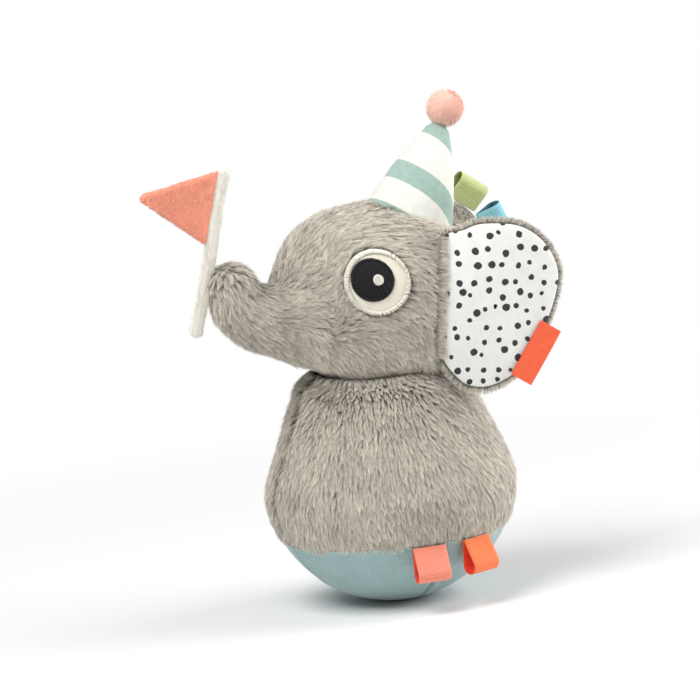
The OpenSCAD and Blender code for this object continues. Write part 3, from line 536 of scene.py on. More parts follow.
pom_core = cloth_material("pompom_core", (253, 194, 175), (255, 204, 186), (255, 212, 196), 0.7, 0.1)
wadding = cloth_material("wadding", (222, 222, 216), (240, 240, 236), (250, 250, 247), 0.9, 0.4)
white_thread = thread_material("white_thread", (204, 198, 180), (238, 234, 221), (250, 248, 241), 0.45)
black_thread = thread_material("black_thread", (13, 13, 14), (24, 24, 26), (40, 39, 40), 0.22)
white_plastic = plastic_material("moulded_plastic", (214, 214, 207), (226, 226, 220))
iron = metal_material("cast_iron", (78, 78, 82), (112, 112, 116), 0.6, 0.5)
steel = metal_material("zinc_steel", (168, 170, 175), (200, 202, 206), 0.32, 0.3)
brass = metal_material("brass", (188, 150, 76), (214, 178, 98), 0.25, 0.3)
dotted_cotton = print_material()


# Pile fibres on a grid of points

# A pile's fibres to the square millimetre, their length and width, their lean from the skin in
# degrees at root and tip, how far and how many gather in a tuft, and how far their way strays
Pile = namedtuple("Pile", "density length width root_lean tip_lean tuft tuft_count stray")
PLUSH_PILE = Pile(5.0, 6.2, 0.18, 42, 5, 0.78, 10, 10)
HEAD_PILE = Pile(5.0, 6.4, 0.18, 42, 6, 0.8, 11, 16)
EAR_PILE = Pile(11.0, 4.6, 0.2, 52, 12, 0.58, 9, 14)
FRINGE_PILE = Pile(12.0, 3.8, 0.2, 34, 5, 0.6, 9, 18)
POMPOM_PILE = Pile(6.0, 2.0, 0.15, 40, 24, 0.45, 6, 90)
STRIP_PILE = Pile(5.0, 1.2, 0.17, 30, 14, 0.3, 11, 26)
PENNANT_NAP = Pile(5.0, 1.3, 0.18, 28, 12, 0.55, 7, 34)

PLUSH_DEPTH, EAR_PLUSH_DEPTH, NAP_DEPTH = 1.5, 0.3, 0.2
LENGTH_SPREAD, WIDTH_SPREAD, TUFT_SPREAD = (0.8, 1.15), (0.7, 1.25), (0.7, 1.15)
LIFT_SPREAD, LIFT_RANGE, ROLL_SPREAD, TIP_SPREAD = 6, (-10, 14), 32, 0.12
# Tones from 0 to 1: how far they stray by patches of a scale, by tufts and by fibres
TONE_PATCH, TONE_SCALE, TONE_TUFT, TONE_FIBRE, TONE_RANGE = 0.3, 7.0, 0.16, 0.12, (0.02, 0.98)
LOWER_SHARE, MIDDLE_DRAW, ROOT_DRAW, MIDDLE_WIDTH = 0.45, 0.45, 0.3, 0.85
BLADE_WAY = np.array([0.04, 0.04, 0.5, 0.5, 0.97])
BLADE_QUAD, BLADE_TIP = np.array([0, 1, 3, 2]), np.array([2, 3, 4])
BACKING_PLACE = (0.5, 0.03)


class Skin:
    """A grid of points with its outward normals and the way that its pile lies."""

    def __init__(self, points, flow, outward):
        self.points = points
        n = unit(np.cross(np.gradient(points, axis=0), np.gradient(points, axis=1)))
        self.normals = n * np.where(dot(n, outward) < 0, -1, 1)
        self.flow = unit(flow - self.normals * dot(self.normals, flow))

    def lowered(self, depth):
        return Skin(self.points - self.normals * depth, self.flow, self.normals)

    def backing(self, depth=0.0):
        """A build that holds the cloth under the pile, in the piece's second material."""
        points = self.points - self.normals * depth
        return Build().add(points, [grid_faces(*points.shape[:2])], 1, BACKING_PLACE)

    def area(self):
        p = self.points
        return size(np.cross(p[1:, :-1] - p[:-1, :-1], p[:-1, 1:] - p[:-1, :-1]))

    def scatter(self, count):
        """Roots spread evenly over the skin: places, normals and the way that the pile lies."""
        area = self.area()
        i, j = np.divmod(rng.choice(area.size, count, p=area.ravel() / area.sum()), area.shape[1])
        u, v = rng.random((2, count, 1))

        def read(f):
            near, far = (f[i, k] * (1 - u) + f[i + 1, k] * u for k in (j, j + 1))
            return near * (1 - v) + far * v

        return read(self.points), unit(read(self.normals)), unit(read(self.flow))


def leaning(normals, flow, degrees):
    a = np.radians(degrees)
    return unit(flow * np.cos(a) + normals * np.sin(a))


def swayed(normals, flow, roots, stray, seed):
    """The pile's way, turned a little here and there, in broad patches and tuft by tuft."""
    broad = noise(roots, 9.0, seed) * 1.3 * stray + noise(roots, 24.0, seed + 1) * stray
    a = np.radians(broad + rng.normal(0, stray * 0.55, len(roots)))[:, None]
    return flow * np.cos(a) + np.cross(normals, flow) * np.sin(a)


def nearest(places, points):
    """For each point, the number of the place nearest to it."""
    tree = KDTree(len(places))
    for i, place in enumerate(places):
        tree.insert(place, i)
    tree.balance()
    return np.array([tree.find(p)[1] for p in points])


def half_widths(way, normal, width):
    """Half the width of each fibre as a vector square to its way, rolled a little."""
    roll = np.radians(rng.normal(0, ROLL_SPREAD, (len(way), 1)))
    side = unit(np.cross(way, normal))
    face = unit(np.cross(side, way))
    return (side * np.cos(roll) + face * np.sin(roll)) * width * rng.uniform(*WIDTH_SPREAD, (len(way), 1)) / 2


def fibres(build, skin, pile, seed, keep=None, steer=None, length_at=None, lean_at=None):
    """Adds a skin's pile: fibres that rise from the skin, bend over and gather into tufts."""
    count = int(skin.area().sum() * pile.density)
    tufts = max(count // pile.tuft_count, 1)
    p, n, f = (np.concatenate(x) for x in zip(skin.scatter(tufts), skin.scatter(count)))
    if steer:
        f = steer(p, n, f)
    f = swayed(n, f, p, pile.stray, seed)
    lift = np.clip(rng.normal(0, LIFT_SPREAD, (len(p), 1)), *LIFT_RANGE)
    if lean_at:
        lift = lift + lean_at(p)[:, None]
    length = pile.length * rng.uniform(*LENGTH_SPREAD, (len(p), 1))
    if length_at:
        length = length * length_at(p)[:, None]
    middle = p + LOWER_SHARE * length * leaning(n, f, pile.root_lean + lift)
    tip = middle + (1 - LOWER_SHARE) * length * leaning(n, f, pile.tip_lean + lift)
    kept = np.arange(tufts, len(p))
    if keep:
        kept = kept[keep(p[kept])]
    home = nearest(p[:tufts], p[kept])
    root, normal = p[kept], n[kept]
    share = pile.tuft * rng.uniform(*TUFT_SPREAD, (len(kept), 1))
    drawn = MIDDLE_DRAW * (middle[home] - p[home] + root - middle[kept]) - ROOT_DRAW * (root - p[home])
    mid = middle[kept] + share * drawn
    end = tip[kept] + share * (tip[home] - tip[kept]) + rng.normal(0, TIP_SPREAD, (len(kept), 3))
    wide = half_widths(end - root, normal, pile.width)
    less = MIDDLE_WIDTH * wide
    points = np.stack([root - wide, root + wide, mid - less, mid + less, end], 1)
    tone = 0.5 + TONE_PATCH * noise(p[:tufts], TONE_SCALE, seed + 2) + rng.normal(0, TONE_TUFT, tufts)
    tone = np.clip(tone[home] + rng.normal(0, TONE_FIBRE, len(kept)), *TONE_RANGE)
    facing = np.cross(wide, end - root)
    shine = unit(0.75 * normal + 0.4 * unit(facing) * np.sign(dot(facing, normal)))
    first = np.arange(len(kept))[:, None] * len(BLADE_WAY)
    return build.add(points, [first + BLADE_QUAD, first + BLADE_TIP], 0, stacked(tone[:, None], BLADE_WAY),
                     np.repeat(shine, len(BLADE_WAY), 0))


def plush_pieces(name, node, skin, depth, fill, pile, **ways):
    """A plush panel: its backing with a first layer of pile, and a second layer over it."""
    low = skin.lowered(depth)
    first = fibres(skin.backing(depth), low, pile, 20, **ways)
    piece = make_piece(name, first, [plush, plush_back], "toy", [node], "OFBake")
    second = fibres(Build(), low, pile, 27, **ways)
    make_piece(f"{name}_pile_1", second, [plush], "toy", (), "OFBake")


# Base

GORE_DIP, GORE_DIP_W = 1.3, 0.75
WELT_RISE, WELT_AT, WELT_W = 0.35, 2.2, 1.5
PUCKER_RISE, PUCKER_SCALE, PUCKER_W = 0.25, 7.0, 5.0
FOOT_EASE = 6.0


def make_base():
    """Four gores of stretched jersey, drawn in at each seam with a welt and puckers beside it."""
    share = 0.5 + 0.5 * bunched(81)
    z = SEAM_Z * np.linspace(0, 1, 41)[:, None] ** 1.7
    r = np.sqrt(np.maximum(BASE_R**2 - (BASE_Z - z) ** 2, 0))
    from_seam = r * np.radians(90) * np.minimum(share, 1 - share)
    ease = smooth(0.0, FOOT_EASE, z)
    dip = GORE_DIP * bell(from_seam, GORE_DIP_W) - WELT_RISE * bell(from_seam - WELT_AT, WELT_W)
    scale = 1 - dip * ease / BASE_R
    for k, name in enumerate(("front_left", "back_left", "back_right", "front_right")):
        a = np.radians(GORE_TURN - 90 + 90 * (k + share))
        points = ringed(r * scale, a, BASE_Z - (BASE_Z - z) * scale)
        pucker = PUCKER_RISE * noise(points, PUCKER_SCALE, 31) * bell(from_seam, PUCKER_W) * ease
        points = points + pucker[..., None] * unit(points - [0, 0, BASE_Z])
        build = Build().grid(points, flip=True)
        piece = make_piece(f"base_cloth_{name}", build, [jersey], "toy", [f"base_gore_{name}"])


# Body

SEAM_DIP, SEAM_DIP_W, NECK_DIP, NECK_DIP_H = 2.6, 1.3, 3.5, 9.0
BODY_LUMP_RISE, BODY_LUMP_SCALE, BODY_TWIST = 0.5, 22.0, 0.12
HEM_START, HEM_END, SHORT_NECK_H, SHORT_SEAM_W = 1.0, 6.0, 7.0, 1.5
NECK_LIFT, NECK_LIFT_START, NECK_LIFT_END = 28.0, 34.0, 6.0


def body_profile(count):
    """Radius and height from the base seam to the neck."""
    low_z = SEAM_Z + SEAT_GAP
    shares = [(SEAM_R, *s) for s in BODY_LOW_SHARES] + [(NECK_R, *s) for s in BODY_HIGH_SHARES]
    knots = [[r + out * (BODY_R - r), low_z + up * (NECK_Z - low_z)] for r, up, out in shares]
    return spline(knots, np.linspace(0, len(knots) - 1, count))


def body_skin(side):
    """Half of the body, from its front seam round to its back seam."""
    r, z = (v[:, None] for v in body_profile(70).T)
    a = math.pi / 2 * bunched(81) * side + (math.pi if side < 0 else 0)
    r = r - NECK_DIP * smooth(NECK_Z - NECK_DIP_H, NECK_Z, z)
    r = r - SEAM_DIP * bell(r * np.abs(np.cos(a)), SEAM_DIP_W)
    points = ringed(r, a, z)
    points = points + BODY_LUMP_RISE * noise(points, BODY_LUMP_SCALE, 5)[..., None] * unit(points * LEVEL)
    flow = np.array([0, 0, -1.0]) + BODY_TWIST * side * unit(np.cross([0, 0, 1], points))
    return Skin(points, flow, points * LEVEL)


def body_pile_length(p):
    """Shorter pile at the neck, at the seams and, unevenly, at the hem over the base."""
    x, z = p[:, 0], p[:, 2]
    hem = (0.35 + 0.25 * noise(p, 6.0, 24)) * smooth(SEAM_Z + HEM_END, SEAM_Z + HEM_START, z)
    return 1 - hem - 0.3 * smooth(NECK_Z - SHORT_NECK_H, NECK_Z, z) - 0.5 * bell(x, SHORT_SEAM_W)


def rise_at_neck(p):
    """How many degrees further the pile stands up under the head, where nothing smooths it down."""
    return NECK_LIFT * smooth(NECK_Z - NECK_LIFT_START, NECK_Z - NECK_LIFT_END, p[:, 2])


def make_body():
    for side, name in ((1, "left"), (-1, "right")):
        plush_pieces(f"body_plush_{name}", f"body_panel_{name}", body_skin(side), PLUSH_DEPTH, 0.85,
                     PLUSH_PILE, length_at=body_pile_length, lean_at=rise_at_neck)


# Head

def head_rings():
    """Rings from the trunk's tip to the back: y, z, tilt, half width, up, down and squareness."""
    trunk = [[-HEAD_FRONT - s[0] * TRUNK_REACH, HEAD_Z - TRUNK_DROP + s[1] * TRUNK_LIFT, s[2],
              s[3] * TRUNK_R, s[4] * TRUNK_R, s[4] * TRUNK_R, 2] for s in TRUNK_SHARES]
    t, tips = trunk[0], []
    for a in np.radians(TIP_ANGLES):
        along, tilt = TIP_ROUND_SHARE * t[4] * math.sin(a), math.radians(t[2])
        tips.append([t[0] - along * math.cos(tilt), t[1] + along * math.sin(tilt), t[2],
                     *(math.cos(a) * v for v in t[3:6]), 2])
    head = [[s[0] * (HEAD_FRONT if s[0] < 0 else HEAD_BACK), HEAD_Z - s[1] * HEAD_RISE, 0,
             s[2] * HEAD_W / 2, s[3] * HEAD_UP, s[4] * HEAD_DROP, s[5]] for s in HEAD_SHARES]
    return tips + trunk + head


RINGS = head_rings()
TRUNK_TIP = np.array([0, *RINGS[0][:2]])


def ring_points(ring, share, start, end):
    """Points of each ring at shares of the way from one angle to another, from the crown down."""
    y, z, tilt, wide, up, down, square = (ring[:, k, None] for k in range(7))
    depth = np.clip((z - NECK_Z - SEAT_GAP) / down, 0, 1)
    at_neck = 180 - np.degrees(np.arccos(depth ** (square / 2)))
    stops = np.where((depth < 1) & (np.abs(tilt) < 1), at_neck, 180.0)
    a = np.radians(start + (np.minimum(end, stops) - start) * share)
    power = np.where(np.cos(a) < 0, 2 / square, 1)
    h = np.where(np.cos(a) < 0, down, up) * powered(np.cos(a), power)
    tilt = np.radians(tilt)
    return stacked(wide * powered(np.sin(a), power), y + h * np.sin(tilt), z + h * np.cos(tilt))


def head_side(y, z):
    """The toy's left half width at places y, z on the side of the head."""
    dense = spline(RINGS, np.linspace(len(TIP_ANGLES) + len(TRUNK_SHARES), len(RINGS) - 1, 400))
    ring_z, wide, up, down, square = (np.interp(y, dense[:, 0], dense[:, k]) for k in (1, 3, 4, 5, 6))
    power = np.where(z < ring_z, square, 2)
    h = np.where(z < ring_z, down, up)
    return wide * np.maximum(1 - (np.abs(z - ring_z) / h) ** power, 0) ** (1 / power)


EYE_MIDDLE = np.array([float(head_side(-EYE_AHEAD, EYE_Z)), -EYE_AHEAD, EYE_Z])
HAT_PLACE = turned((-HAT_LEAN, 0, 0), HAT_FOOT)
HAT_PART_Z = 5.0
HAT_MIDDLE = placed([0, 0, HAT_PART_Z], HAT_PLACE)
CHEEK_X = HEAD_W / 5
PART_W, PART_PUSH = 6.0, 0.25
EYE_LAP, HAT_LAP = 0.6, 3.5
EAR_LIFT, EAR_LIFT_START, EAR_LIFT_END, EAR_LIFT_SHARE = 24.0, -7.0, -2.0, 0.42
HEAD_SEAM_DIP, HEAD_SEAM_DIP_W, HEAD_NECK_H = 1.0, 1.8, 8.0
HEAD_LUMP_RISE, HEAD_LUMP_SCALE = 0.45, 20.0
TIP_START, TIP_END, TIP_THIN_END = 4.0, 20.0, 22.0


def part_round(p, n, f, middle, radius):
    """The pile's way, led round something that stands on the skin instead of into it."""
    away = p - middle
    out = unit(away - n * dot(away, n))
    share = 1 - smooth(radius, radius + PART_W, size(away)[:, None])
    into = np.minimum(dot(f, out), 0)
    return unit(f - share * (into - PART_PUSH) * out)


def steer_head(p, n, f):
    for side in (1, -1):
        f = part_round(p, n, f, EYE_MIDDLE * [side, 1, 1], EYE_R)
    return part_round(p, n, f, HAT_MIDDLE, HAT_R)


def bare_of_trim(p):
    """Where pile grows: not under an eye, and not under the hat."""
    eye = (np.hypot(p[:, 1] + EYE_AHEAD, p[:, 2] - EYE_Z) < EYE_R - EYE_LAP) & (np.abs(p[:, 0]) > CHEEK_X)
    local = placed(p, np.linalg.inv(HAT_PLACE))
    hat = (np.hypot(local[:, 0], local[:, 1]) < HAT_R - HAT_LAP) & (local[:, 2] > -HAT_R)
    return ~(eye | hat)


def rise_at_ears(p):
    """How many degrees further the pile stands up in front of an ear, where it meets the ear's edge."""
    up = p[:, 2] - EAR_ROOT[2]
    from_edge = p[:, 1] - EAR_ROOT[1] - up * math.tan(math.radians(EAR_LEAN))
    near = smooth(EAR_LIFT_START, EAR_LIFT_END, from_edge) * (from_edge < 1) * (np.abs(p[:, 0]) > CHEEK_X)
    return EAR_LIFT * near * (np.abs(up) < EAR_H * EAR_LIFT_SHARE)


def head_skin(start, end, cols):
    """A panel of the head between two angles from the crown, drawn in along its seams."""
    rings = spline(RINGS, np.linspace(0, len(RINGS) - 1, 145))
    share = np.linspace(0, 1, cols)[None] ** (1.4 if start > 0 else 1.0)
    points = ring_points(rings, share, start, end)
    outward = points - stacked(0, rings[:, 0], rings[:, 1])[:, None]
    across = run_along(points)
    for from_seam in [across] if start > 0 else [across, across[:, -1:] - across]:
        points = points - HEAD_SEAM_DIP * bell(from_seam, HEAD_SEAM_DIP_W)[..., None] * unit(outward)
    points = points + HEAD_LUMP_RISE * noise(points, HEAD_LUMP_SCALE, 8)[..., None] * unit(outward)
    neck = smooth(NECK_Z + HEAD_NECK_H, NECK_Z, points[..., 2:])
    points = points - NECK_DIP * neck * unit(points * LEVEL)
    # The pile runs back along the head, and hangs more towards its back, its underside and the tip
    back, under = smooth(-25, 20, points[..., 1:2]), smooth(130, 108, points[..., 2:])
    hang = 0.35 + 1.0 * back + 1.6 * under
    tip = 1 - smooth(TIP_START, TIP_END, size(points - TRUNK_TIP)[..., None])
    flow = unit(np.gradient(points, axis=0)) * (1 - 0.7 * tip) + (hang + tip) * np.array([0, 0.3, -1.0])
    return Skin(points, flow, outward)


def make_head():
    side = (GUSSET_ANGLE, 180, 64)
    panels = [("left", "head_panel_left", side), ("gusset", "head_gusset", (-GUSSET_ANGLE, GUSSET_ANGLE, 17)),
              ("right", "head_panel_right", side)]
    for name, node, span in panels:
        skin = head_skin(*span)
        if name == "right":
            skin = Skin(*(v * [-1, 1, 1] for v in (skin.points, skin.flow, skin.normals)))
        depth = PLUSH_DEPTH * smooth(0, TIP_THIN_END, size(skin.points - TRUNK_TIP)[..., None])
        plush_pieces(f"head_plush_{name}", node, skin, depth, 0.9, HEAD_PILE, keep=bare_of_trim,
                     steer=steer_head, lean_at=rise_at_ears)


# Eyes: rounds of cloth and threads on the side of the head, at places [y, z]

EYE_AT = np.array([-EYE_AHEAD, EYE_Z])
PUPIL_AT = EYE_AT + np.array([-PUPIL_AHEAD_SHARE, PUPIL_UP_SHARE]) * EYE_R
GLINT_AT = PUPIL_AT + np.array([GLINT_BACK_SHARE, 0]) * EYE_R
EYE_TOP = SEAT_GAP + EYE_T
# A thread's way from end to end, its rise on the way, and its edges across with their height
THREAD_WAY = np.array([0, 0.12, 0.5, 0.88, 1.0])
THREAD_RISE = np.array([-0.3, 0.55, 1.0, 0.55, -0.3])
THREAD_EDGES = ((-0.5, 0.25), (-0.25, 1.0), (0.25, 1.0), (0.5, 0.25))
# Threads as width and height, rings as count and slant, and fills as pitch, length and degrees
RIM_THREAD, EDGE_THREAD, PUPIL_THREAD, GLINT_THREAD = (0.82, 1.25), (0.55, 0.8), (0.5, 0.6), (0.5, 0.55)
RIM_RING, EDGE_RING = (88, 0.06), (96, 0.08)
PUPIL_FILL, GLINT_FILL = (0.5, 3.4, 70), (0.45, 6.0, 10)
PATCH_SINK, PATCH_DOME, EDGE_W, FILL_INSET = 1.2, 0.3, 1.3, 0.9


def on_head(spots, lift):
    y, z = spots[..., 0], spots[..., 1]
    return stacked(head_side(y, z) + lift, y, z)


def round_layer(middle, r, lift, thick, rings=8, sides=64, dome=0.0):
    """A round of cloth on the side of the head, with a rolled edge and a slightly raised middle."""
    q = np.linspace(0.02, 0.94, rings)
    up = np.r_[thick + dome * (1 - q**2), thick * 0.85, thick * 0.5, 0]
    q = np.r_[q, 0.985, 1.0, 0.99]
    spots = middle + ringed(r * q[:, None], arc(0, 360, sides + 1)[:-1])
    return Build().grid(on_head(spots, lift + up[:, None]), True)


def stitches(build, start, end, lift, width, height):
    """Threads from one place to another on the side of the head, thick in their middle."""
    way = unit(end - start)
    over = stacked(-way[:, 1], way[:, 0]) * width
    line = start[:, None] + (end - start)[:, None] * THREAD_WAY[:, None]
    points = np.stack([on_head(line + across * over[:, None], lift + height * THREAD_RISE * high)
                       for across, high in THREAD_EDGES], 2)
    along = THREAD_WAY[:, None] * size(end - start)[:, None, None] + rng.random((len(start), 1, 1)) * 3
    rows, cols = points.shape[1:3]
    first = rows * cols * np.arange(len(start))[:, None, None]
    faces = (grid_faces(rows, cols, flip=True) + first).reshape(-1, 4)
    return build.add(points, [faces], uv=stacked(0.1 * np.arange(cols), along))


def ring_stitches(build, middle, r0, r1, count, slant, lift, width, height):
    """Threads side by side round a ring, each from its inner to its outer edge."""
    a = 2 * math.pi * (np.arange(count) + rng.uniform(-0.2, 0.2, count)) / count
    inner = r0 + rng.uniform(-0.1, 0.1, count)
    outer = r1 + rng.uniform(-0.12, 0.12, count)
    return stitches(build, middle + ringed(inner, a), middle + ringed(outer, a + slant), lift, width, height)


def fill_stitches(build, middle, r, pitch, length, degrees, lift, width, height):
    """Rows of threads that fill a round, each row set on by a third of a stitch."""
    starts, ends = [], []
    for k, v in enumerate(np.arange(-r + pitch, r, pitch)):
        half = math.sqrt(r * r - v * v)
        for u in np.arange(-half + length * ((k % 3) / 3 - 1), half, length):
            u0, u1 = max(u, -half), min(u + length, half)
            if u1 - u0 > length * 0.2:
                starts.append((u0, v))
                ends.append((u1, v))
    c, s = math.cos(math.radians(degrees)), math.sin(math.radians(degrees))
    start, end = (np.array(x) @ np.array([[c, s], [-s, c]]) + middle for x in (starts, ends))
    return stitches(build, start, end, lift, width, height)


def make_eyes():
    for side, mirror in SIDES.items():
        patch = round_layer(EYE_AT, EYE_R - 0.3, -PATCH_SINK, EYE_T + PATCH_SINK + 0.1, dome=PATCH_DOME)
        rim = Build()
        ring_stitches(rim, EYE_AT, EYE_R - EYE_RIM_W, EYE_R + 0.1, *RIM_RING, EYE_TOP, *RIM_THREAD)
        pupil = round_layer(PUPIL_AT, PUPIL_R - 0.2, EYE_TOP - 0.2, 0.35)
        fill_stitches(pupil, PUPIL_AT, PUPIL_R - FILL_INSET, *PUPIL_FILL, EYE_TOP + 0.1, *PUPIL_THREAD)
        ring_stitches(pupil, PUPIL_AT, PUPIL_R - EDGE_W, PUPIL_R, *EDGE_RING, EYE_TOP + 0.15, *EDGE_THREAD)
        glint = round_layer(GLINT_AT, GLINT_R - 0.2, EYE_TOP + STITCH_T - 0.3, 0.3, 3, 32)
        fill_stitches(glint, GLINT_AT, GLINT_R - 0.2, *GLINT_FILL, EYE_TOP + STITCH_T, *GLINT_THREAD)
        for name, build, material, slot in (
            ("eye_patch", patch, felt_cream, "cream_cloth"),
            ("eye_rim", rim, white_thread, "white_thread"),
            ("pupil", pupil, black_thread, "black_thread"),
            ("eye_glint", glint, white_thread, "white_thread"),
        ):
            node = f"{side}_{name}"
            make_piece(f"{node}_stitched", build.moved(mirror), [material], "toy", [node])


# Ears, in their own frame: x outward, y back from the sewn edge, z along it

EAR_MIDDLE = np.array(EAR_MIDDLE_SHARES) * [EAR_W, EAR_H]
EAR_PLACE = turned((-EAR_LEAN, 0, -EAR_FLARE), EAR_ROOT)
EAR_SIDES, EAR_BOW_UP, EAR_BOW_LOW = 160, 10.0, 4.0
PRINT_RIM, BARE_EDGE, HEADING_STEP = 1.6, 3.5, 0.003
EAR_FOLD_RISE, EAR_FOLD_SCALE, EAR_CREASE_RISE, EAR_CREASE_SCALE = 0.8, 8.0, 0.2, 5.0
FRINGE_KNOTS, FRINGE_ACROSS, FRINGE_X = (13.1, 15.98), np.array([-1.2, 0.2, 1.4]), 0.7
RIM_SHORT, LOW_RIM_LESS, LOOP_SHORT, LOOP_SHORT_START, LOOP_SHORT_END = 0.55, 0.2, 0.7, 11.0, 7.0


def ear_spot(share):
    return spline(EAR_OUTLINE_SHARES, np.asarray(share) * len(EAR_OUTLINE_SHARES), True) * [EAR_W, EAR_H]


def ear_heading(share):
    """The way that the ear's outline runs there, in degrees."""
    step = ear_spot(share + HEADING_STEP) - ear_spot(share - HEADING_STEP)
    return math.degrees(math.atan2(step[1], step[0]))


def ear_sink(y, z):
    """How far the ear bows in at its sewn edge, to follow the round of the head."""
    bow = np.where(z > 0, EAR_BOW_UP, EAR_BOW_LOW)
    return bow * (2 * z / EAR_H) ** 2 * np.maximum(1 - y / EAR_W, 0) ** 2


EAR_RIM = ear_spot(np.arange(EAR_SIDES) / EAR_SIDES) - EAR_MIDDLE


def ear_rows(q, grow, middle_x, edge_x):
    """Rows of an ear's leaf: shares q of the way out, and how far each row's outline grows."""
    q, grow, edge_x = (v[:, None] for v in (q, grow, edge_x))
    reach = size(EAR_RIM)
    y, z = np.moveaxis(EAR_MIDDLE + EAR_RIM * (q * (reach + grow) / reach)[..., None], -1, 0)
    t = np.clip(y / (EAR_FULL_SHARE * EAR_W), 0, 1)
    swell = np.sqrt(np.maximum(1 - q * q, 0)) * t * (2 - t)
    return stacked(edge_x + (middle_x - edge_x) * swell - ear_sink(y, z), y, z)


def ear_print_points():
    """The printed front: full in its middle, a little creased, and turned in at its rim."""
    q = np.r_[np.linspace(0.03, 0.9, 14), 0.95, 0.985, np.ones(3)]
    grow = np.r_[np.full(17, -PRINT_RIM), -PRINT_RIM - 0.2, -PRINT_RIM - 1.5]
    points = ear_rows(q, grow, EAR_FRONT_T, np.r_[np.full(17, 0.75), 0.25, 0.15])
    fold = EAR_FOLD_RISE * noise(points * [1, 1, 0.25], EAR_FOLD_SCALE, 51)
    crease = EAR_CREASE_RISE * noise(points, EAR_CREASE_SCALE, 52)
    points[..., 0] += (fold + crease) * (1 - q**6)[:, None]
    return points


def ear_back_skin():
    """The plush back and rim, whose pile lies down the middle and outward at the rim."""
    q = np.r_[np.linspace(0.03, 0.92, 14), 0.97, np.ones(4)]
    grow = np.r_[np.zeros(16), 0.25, -0.5, -1.8]
    points = ear_rows(q, grow, -EAR_BACK_T, np.r_[np.full(16, -1.2), -0.55, -0.15, -0.15])
    points = np.concatenate([points, points[:, :1]], 1)
    away = unit(points[..., 1:] - EAR_MIDDLE)
    out = smooth(0.3, 0.95, q)[:, None, None]
    flow = np.zeros(points.shape)
    flow[..., 1:] = out * away + (1.2 - out) * np.array([0.25, -1.0])
    flow[-3:, :, 0] = 0.15
    flow[-3:, :, 1:] = away[-3:] + [0.05, -0.25]
    outward = np.tile([-1.0, 0, 0], points.shape[:2] + (1,))
    outward[-4:-2, :, 1:] = away[-4:-2] * 3
    outward[-2:, :, 0] = 1
    return Skin(points, flow, outward)


def ear_fringe():
    """The skin along an ear's sewn edge, whose pile lies back over the edge of the print."""
    edge = ear_spot(np.linspace(*FRINGE_KNOTS, 50) / len(EAR_OUTLINE_SHARES))
    y, z = edge[:, :1] + FRINGE_ACROSS, edge[:, 1:]
    return Skin(stacked(FRINGE_X - ear_sink(y, z), y, z), [0.0, 1.0, -0.5], [1.0, 0, 0])


def off_sewn_edge(p):
    return p[:, 1] > BARE_EDGE


def short_at_rim(p, loop_spots):
    """Shorter pile at an ear's rim, and shorter still where a loop is sewn in."""
    e = p[:, 1:] - EAR_MIDDLE
    angles = np.arctan2(EAR_RIM[:, 1], EAR_RIM[:, 0])
    order = np.argsort(angles)
    reach = np.interp(np.arctan2(e[:, 1], e[:, 0]), angles[order], size(EAR_RIM)[order], period=2 * math.pi)
    low = smooth(-10, -40, p[:, 2])
    length = 1 - (RIM_SHORT - LOW_RIM_LESS * low) * smooth(-5.0, -1.0, size(e) - reach)
    for spot in loop_spots:
        near = smooth(LOOP_SHORT_START, LOOP_SHORT_END, size(p[:, 1:] - spot))
        length = length * (1 - LOOP_SHORT * near)
    return length


def make_ears():
    face, skin = ear_print_points(), ear_back_skin()
    for side, mirror in SIDES.items():
        body, front, back = (f"{side}_ear{end}" for end in ("", "_front", "_back"))
        cloth = Build().grid(face, True, face[..., 1:], True).moved(mirror, EAR_PLACE)
        piece = make_piece(f"{side}_ear_print", cloth, [dotted_cotton], body, [front])
        spots = [ear_spot(s) for s in (GREEN_SHARE, BLUE_SHARE)] if side == "right" else []
        fur = fibres(skin.backing(EAR_PLUSH_DEPTH), skin.lowered(EAR_PLUSH_DEPTH), EAR_PILE, 60,
                     keep=off_sewn_edge, length_at=partial(short_at_rim, loop_spots=spots))
        fibres(fur, ear_fringe(), FRINGE_PILE, 66).moved(mirror, EAR_PLACE)
        piece = make_piece(f"{side}_ear_plush", fur, [plush, plush_back], body, [back], "OFBake")


# Ribbon loops and label

RIB_HEIGHT, RIB_SINK, SELVEDGE_SHARE, SAG_RISE, SAG_SCALE = 0.11, 0.2, 0.35, 0.3, 9.0
LABEL_THIN, LABEL_BOW, LABEL_RIPPLE, LABEL_RIPPLE_SCALE = 0.12, 0.5, 0.12, 6.0


def loop_path(reach, count=230):
    """The middle line of a loop's ribbon: down from its root, round and up again, with normals."""
    small, big = RIBBON_T / 2, LOOP_GAP / 2 + RIBBON_T / 2
    drop = reach - LOOP_GAP / 2 - RIBBON_T
    lean = math.asin((big - small) / drop)
    bottom = ringed(big, np.linspace(lean, -math.pi - lean, 60)) - [0, drop]
    first, last = ringed(small, np.array([[lean], [math.pi - lean]]))
    line = np.concatenate([first, bottom, last])
    along = run_along(line)
    at = np.linspace(0, along[-1], count)
    path = stacked(*(np.interp(at, along, line[:, k]) for k in (0, 1)))
    way = unit(np.gradient(path, axis=0))
    return path, stacked(-way[:, 1], way[:, 0]), at


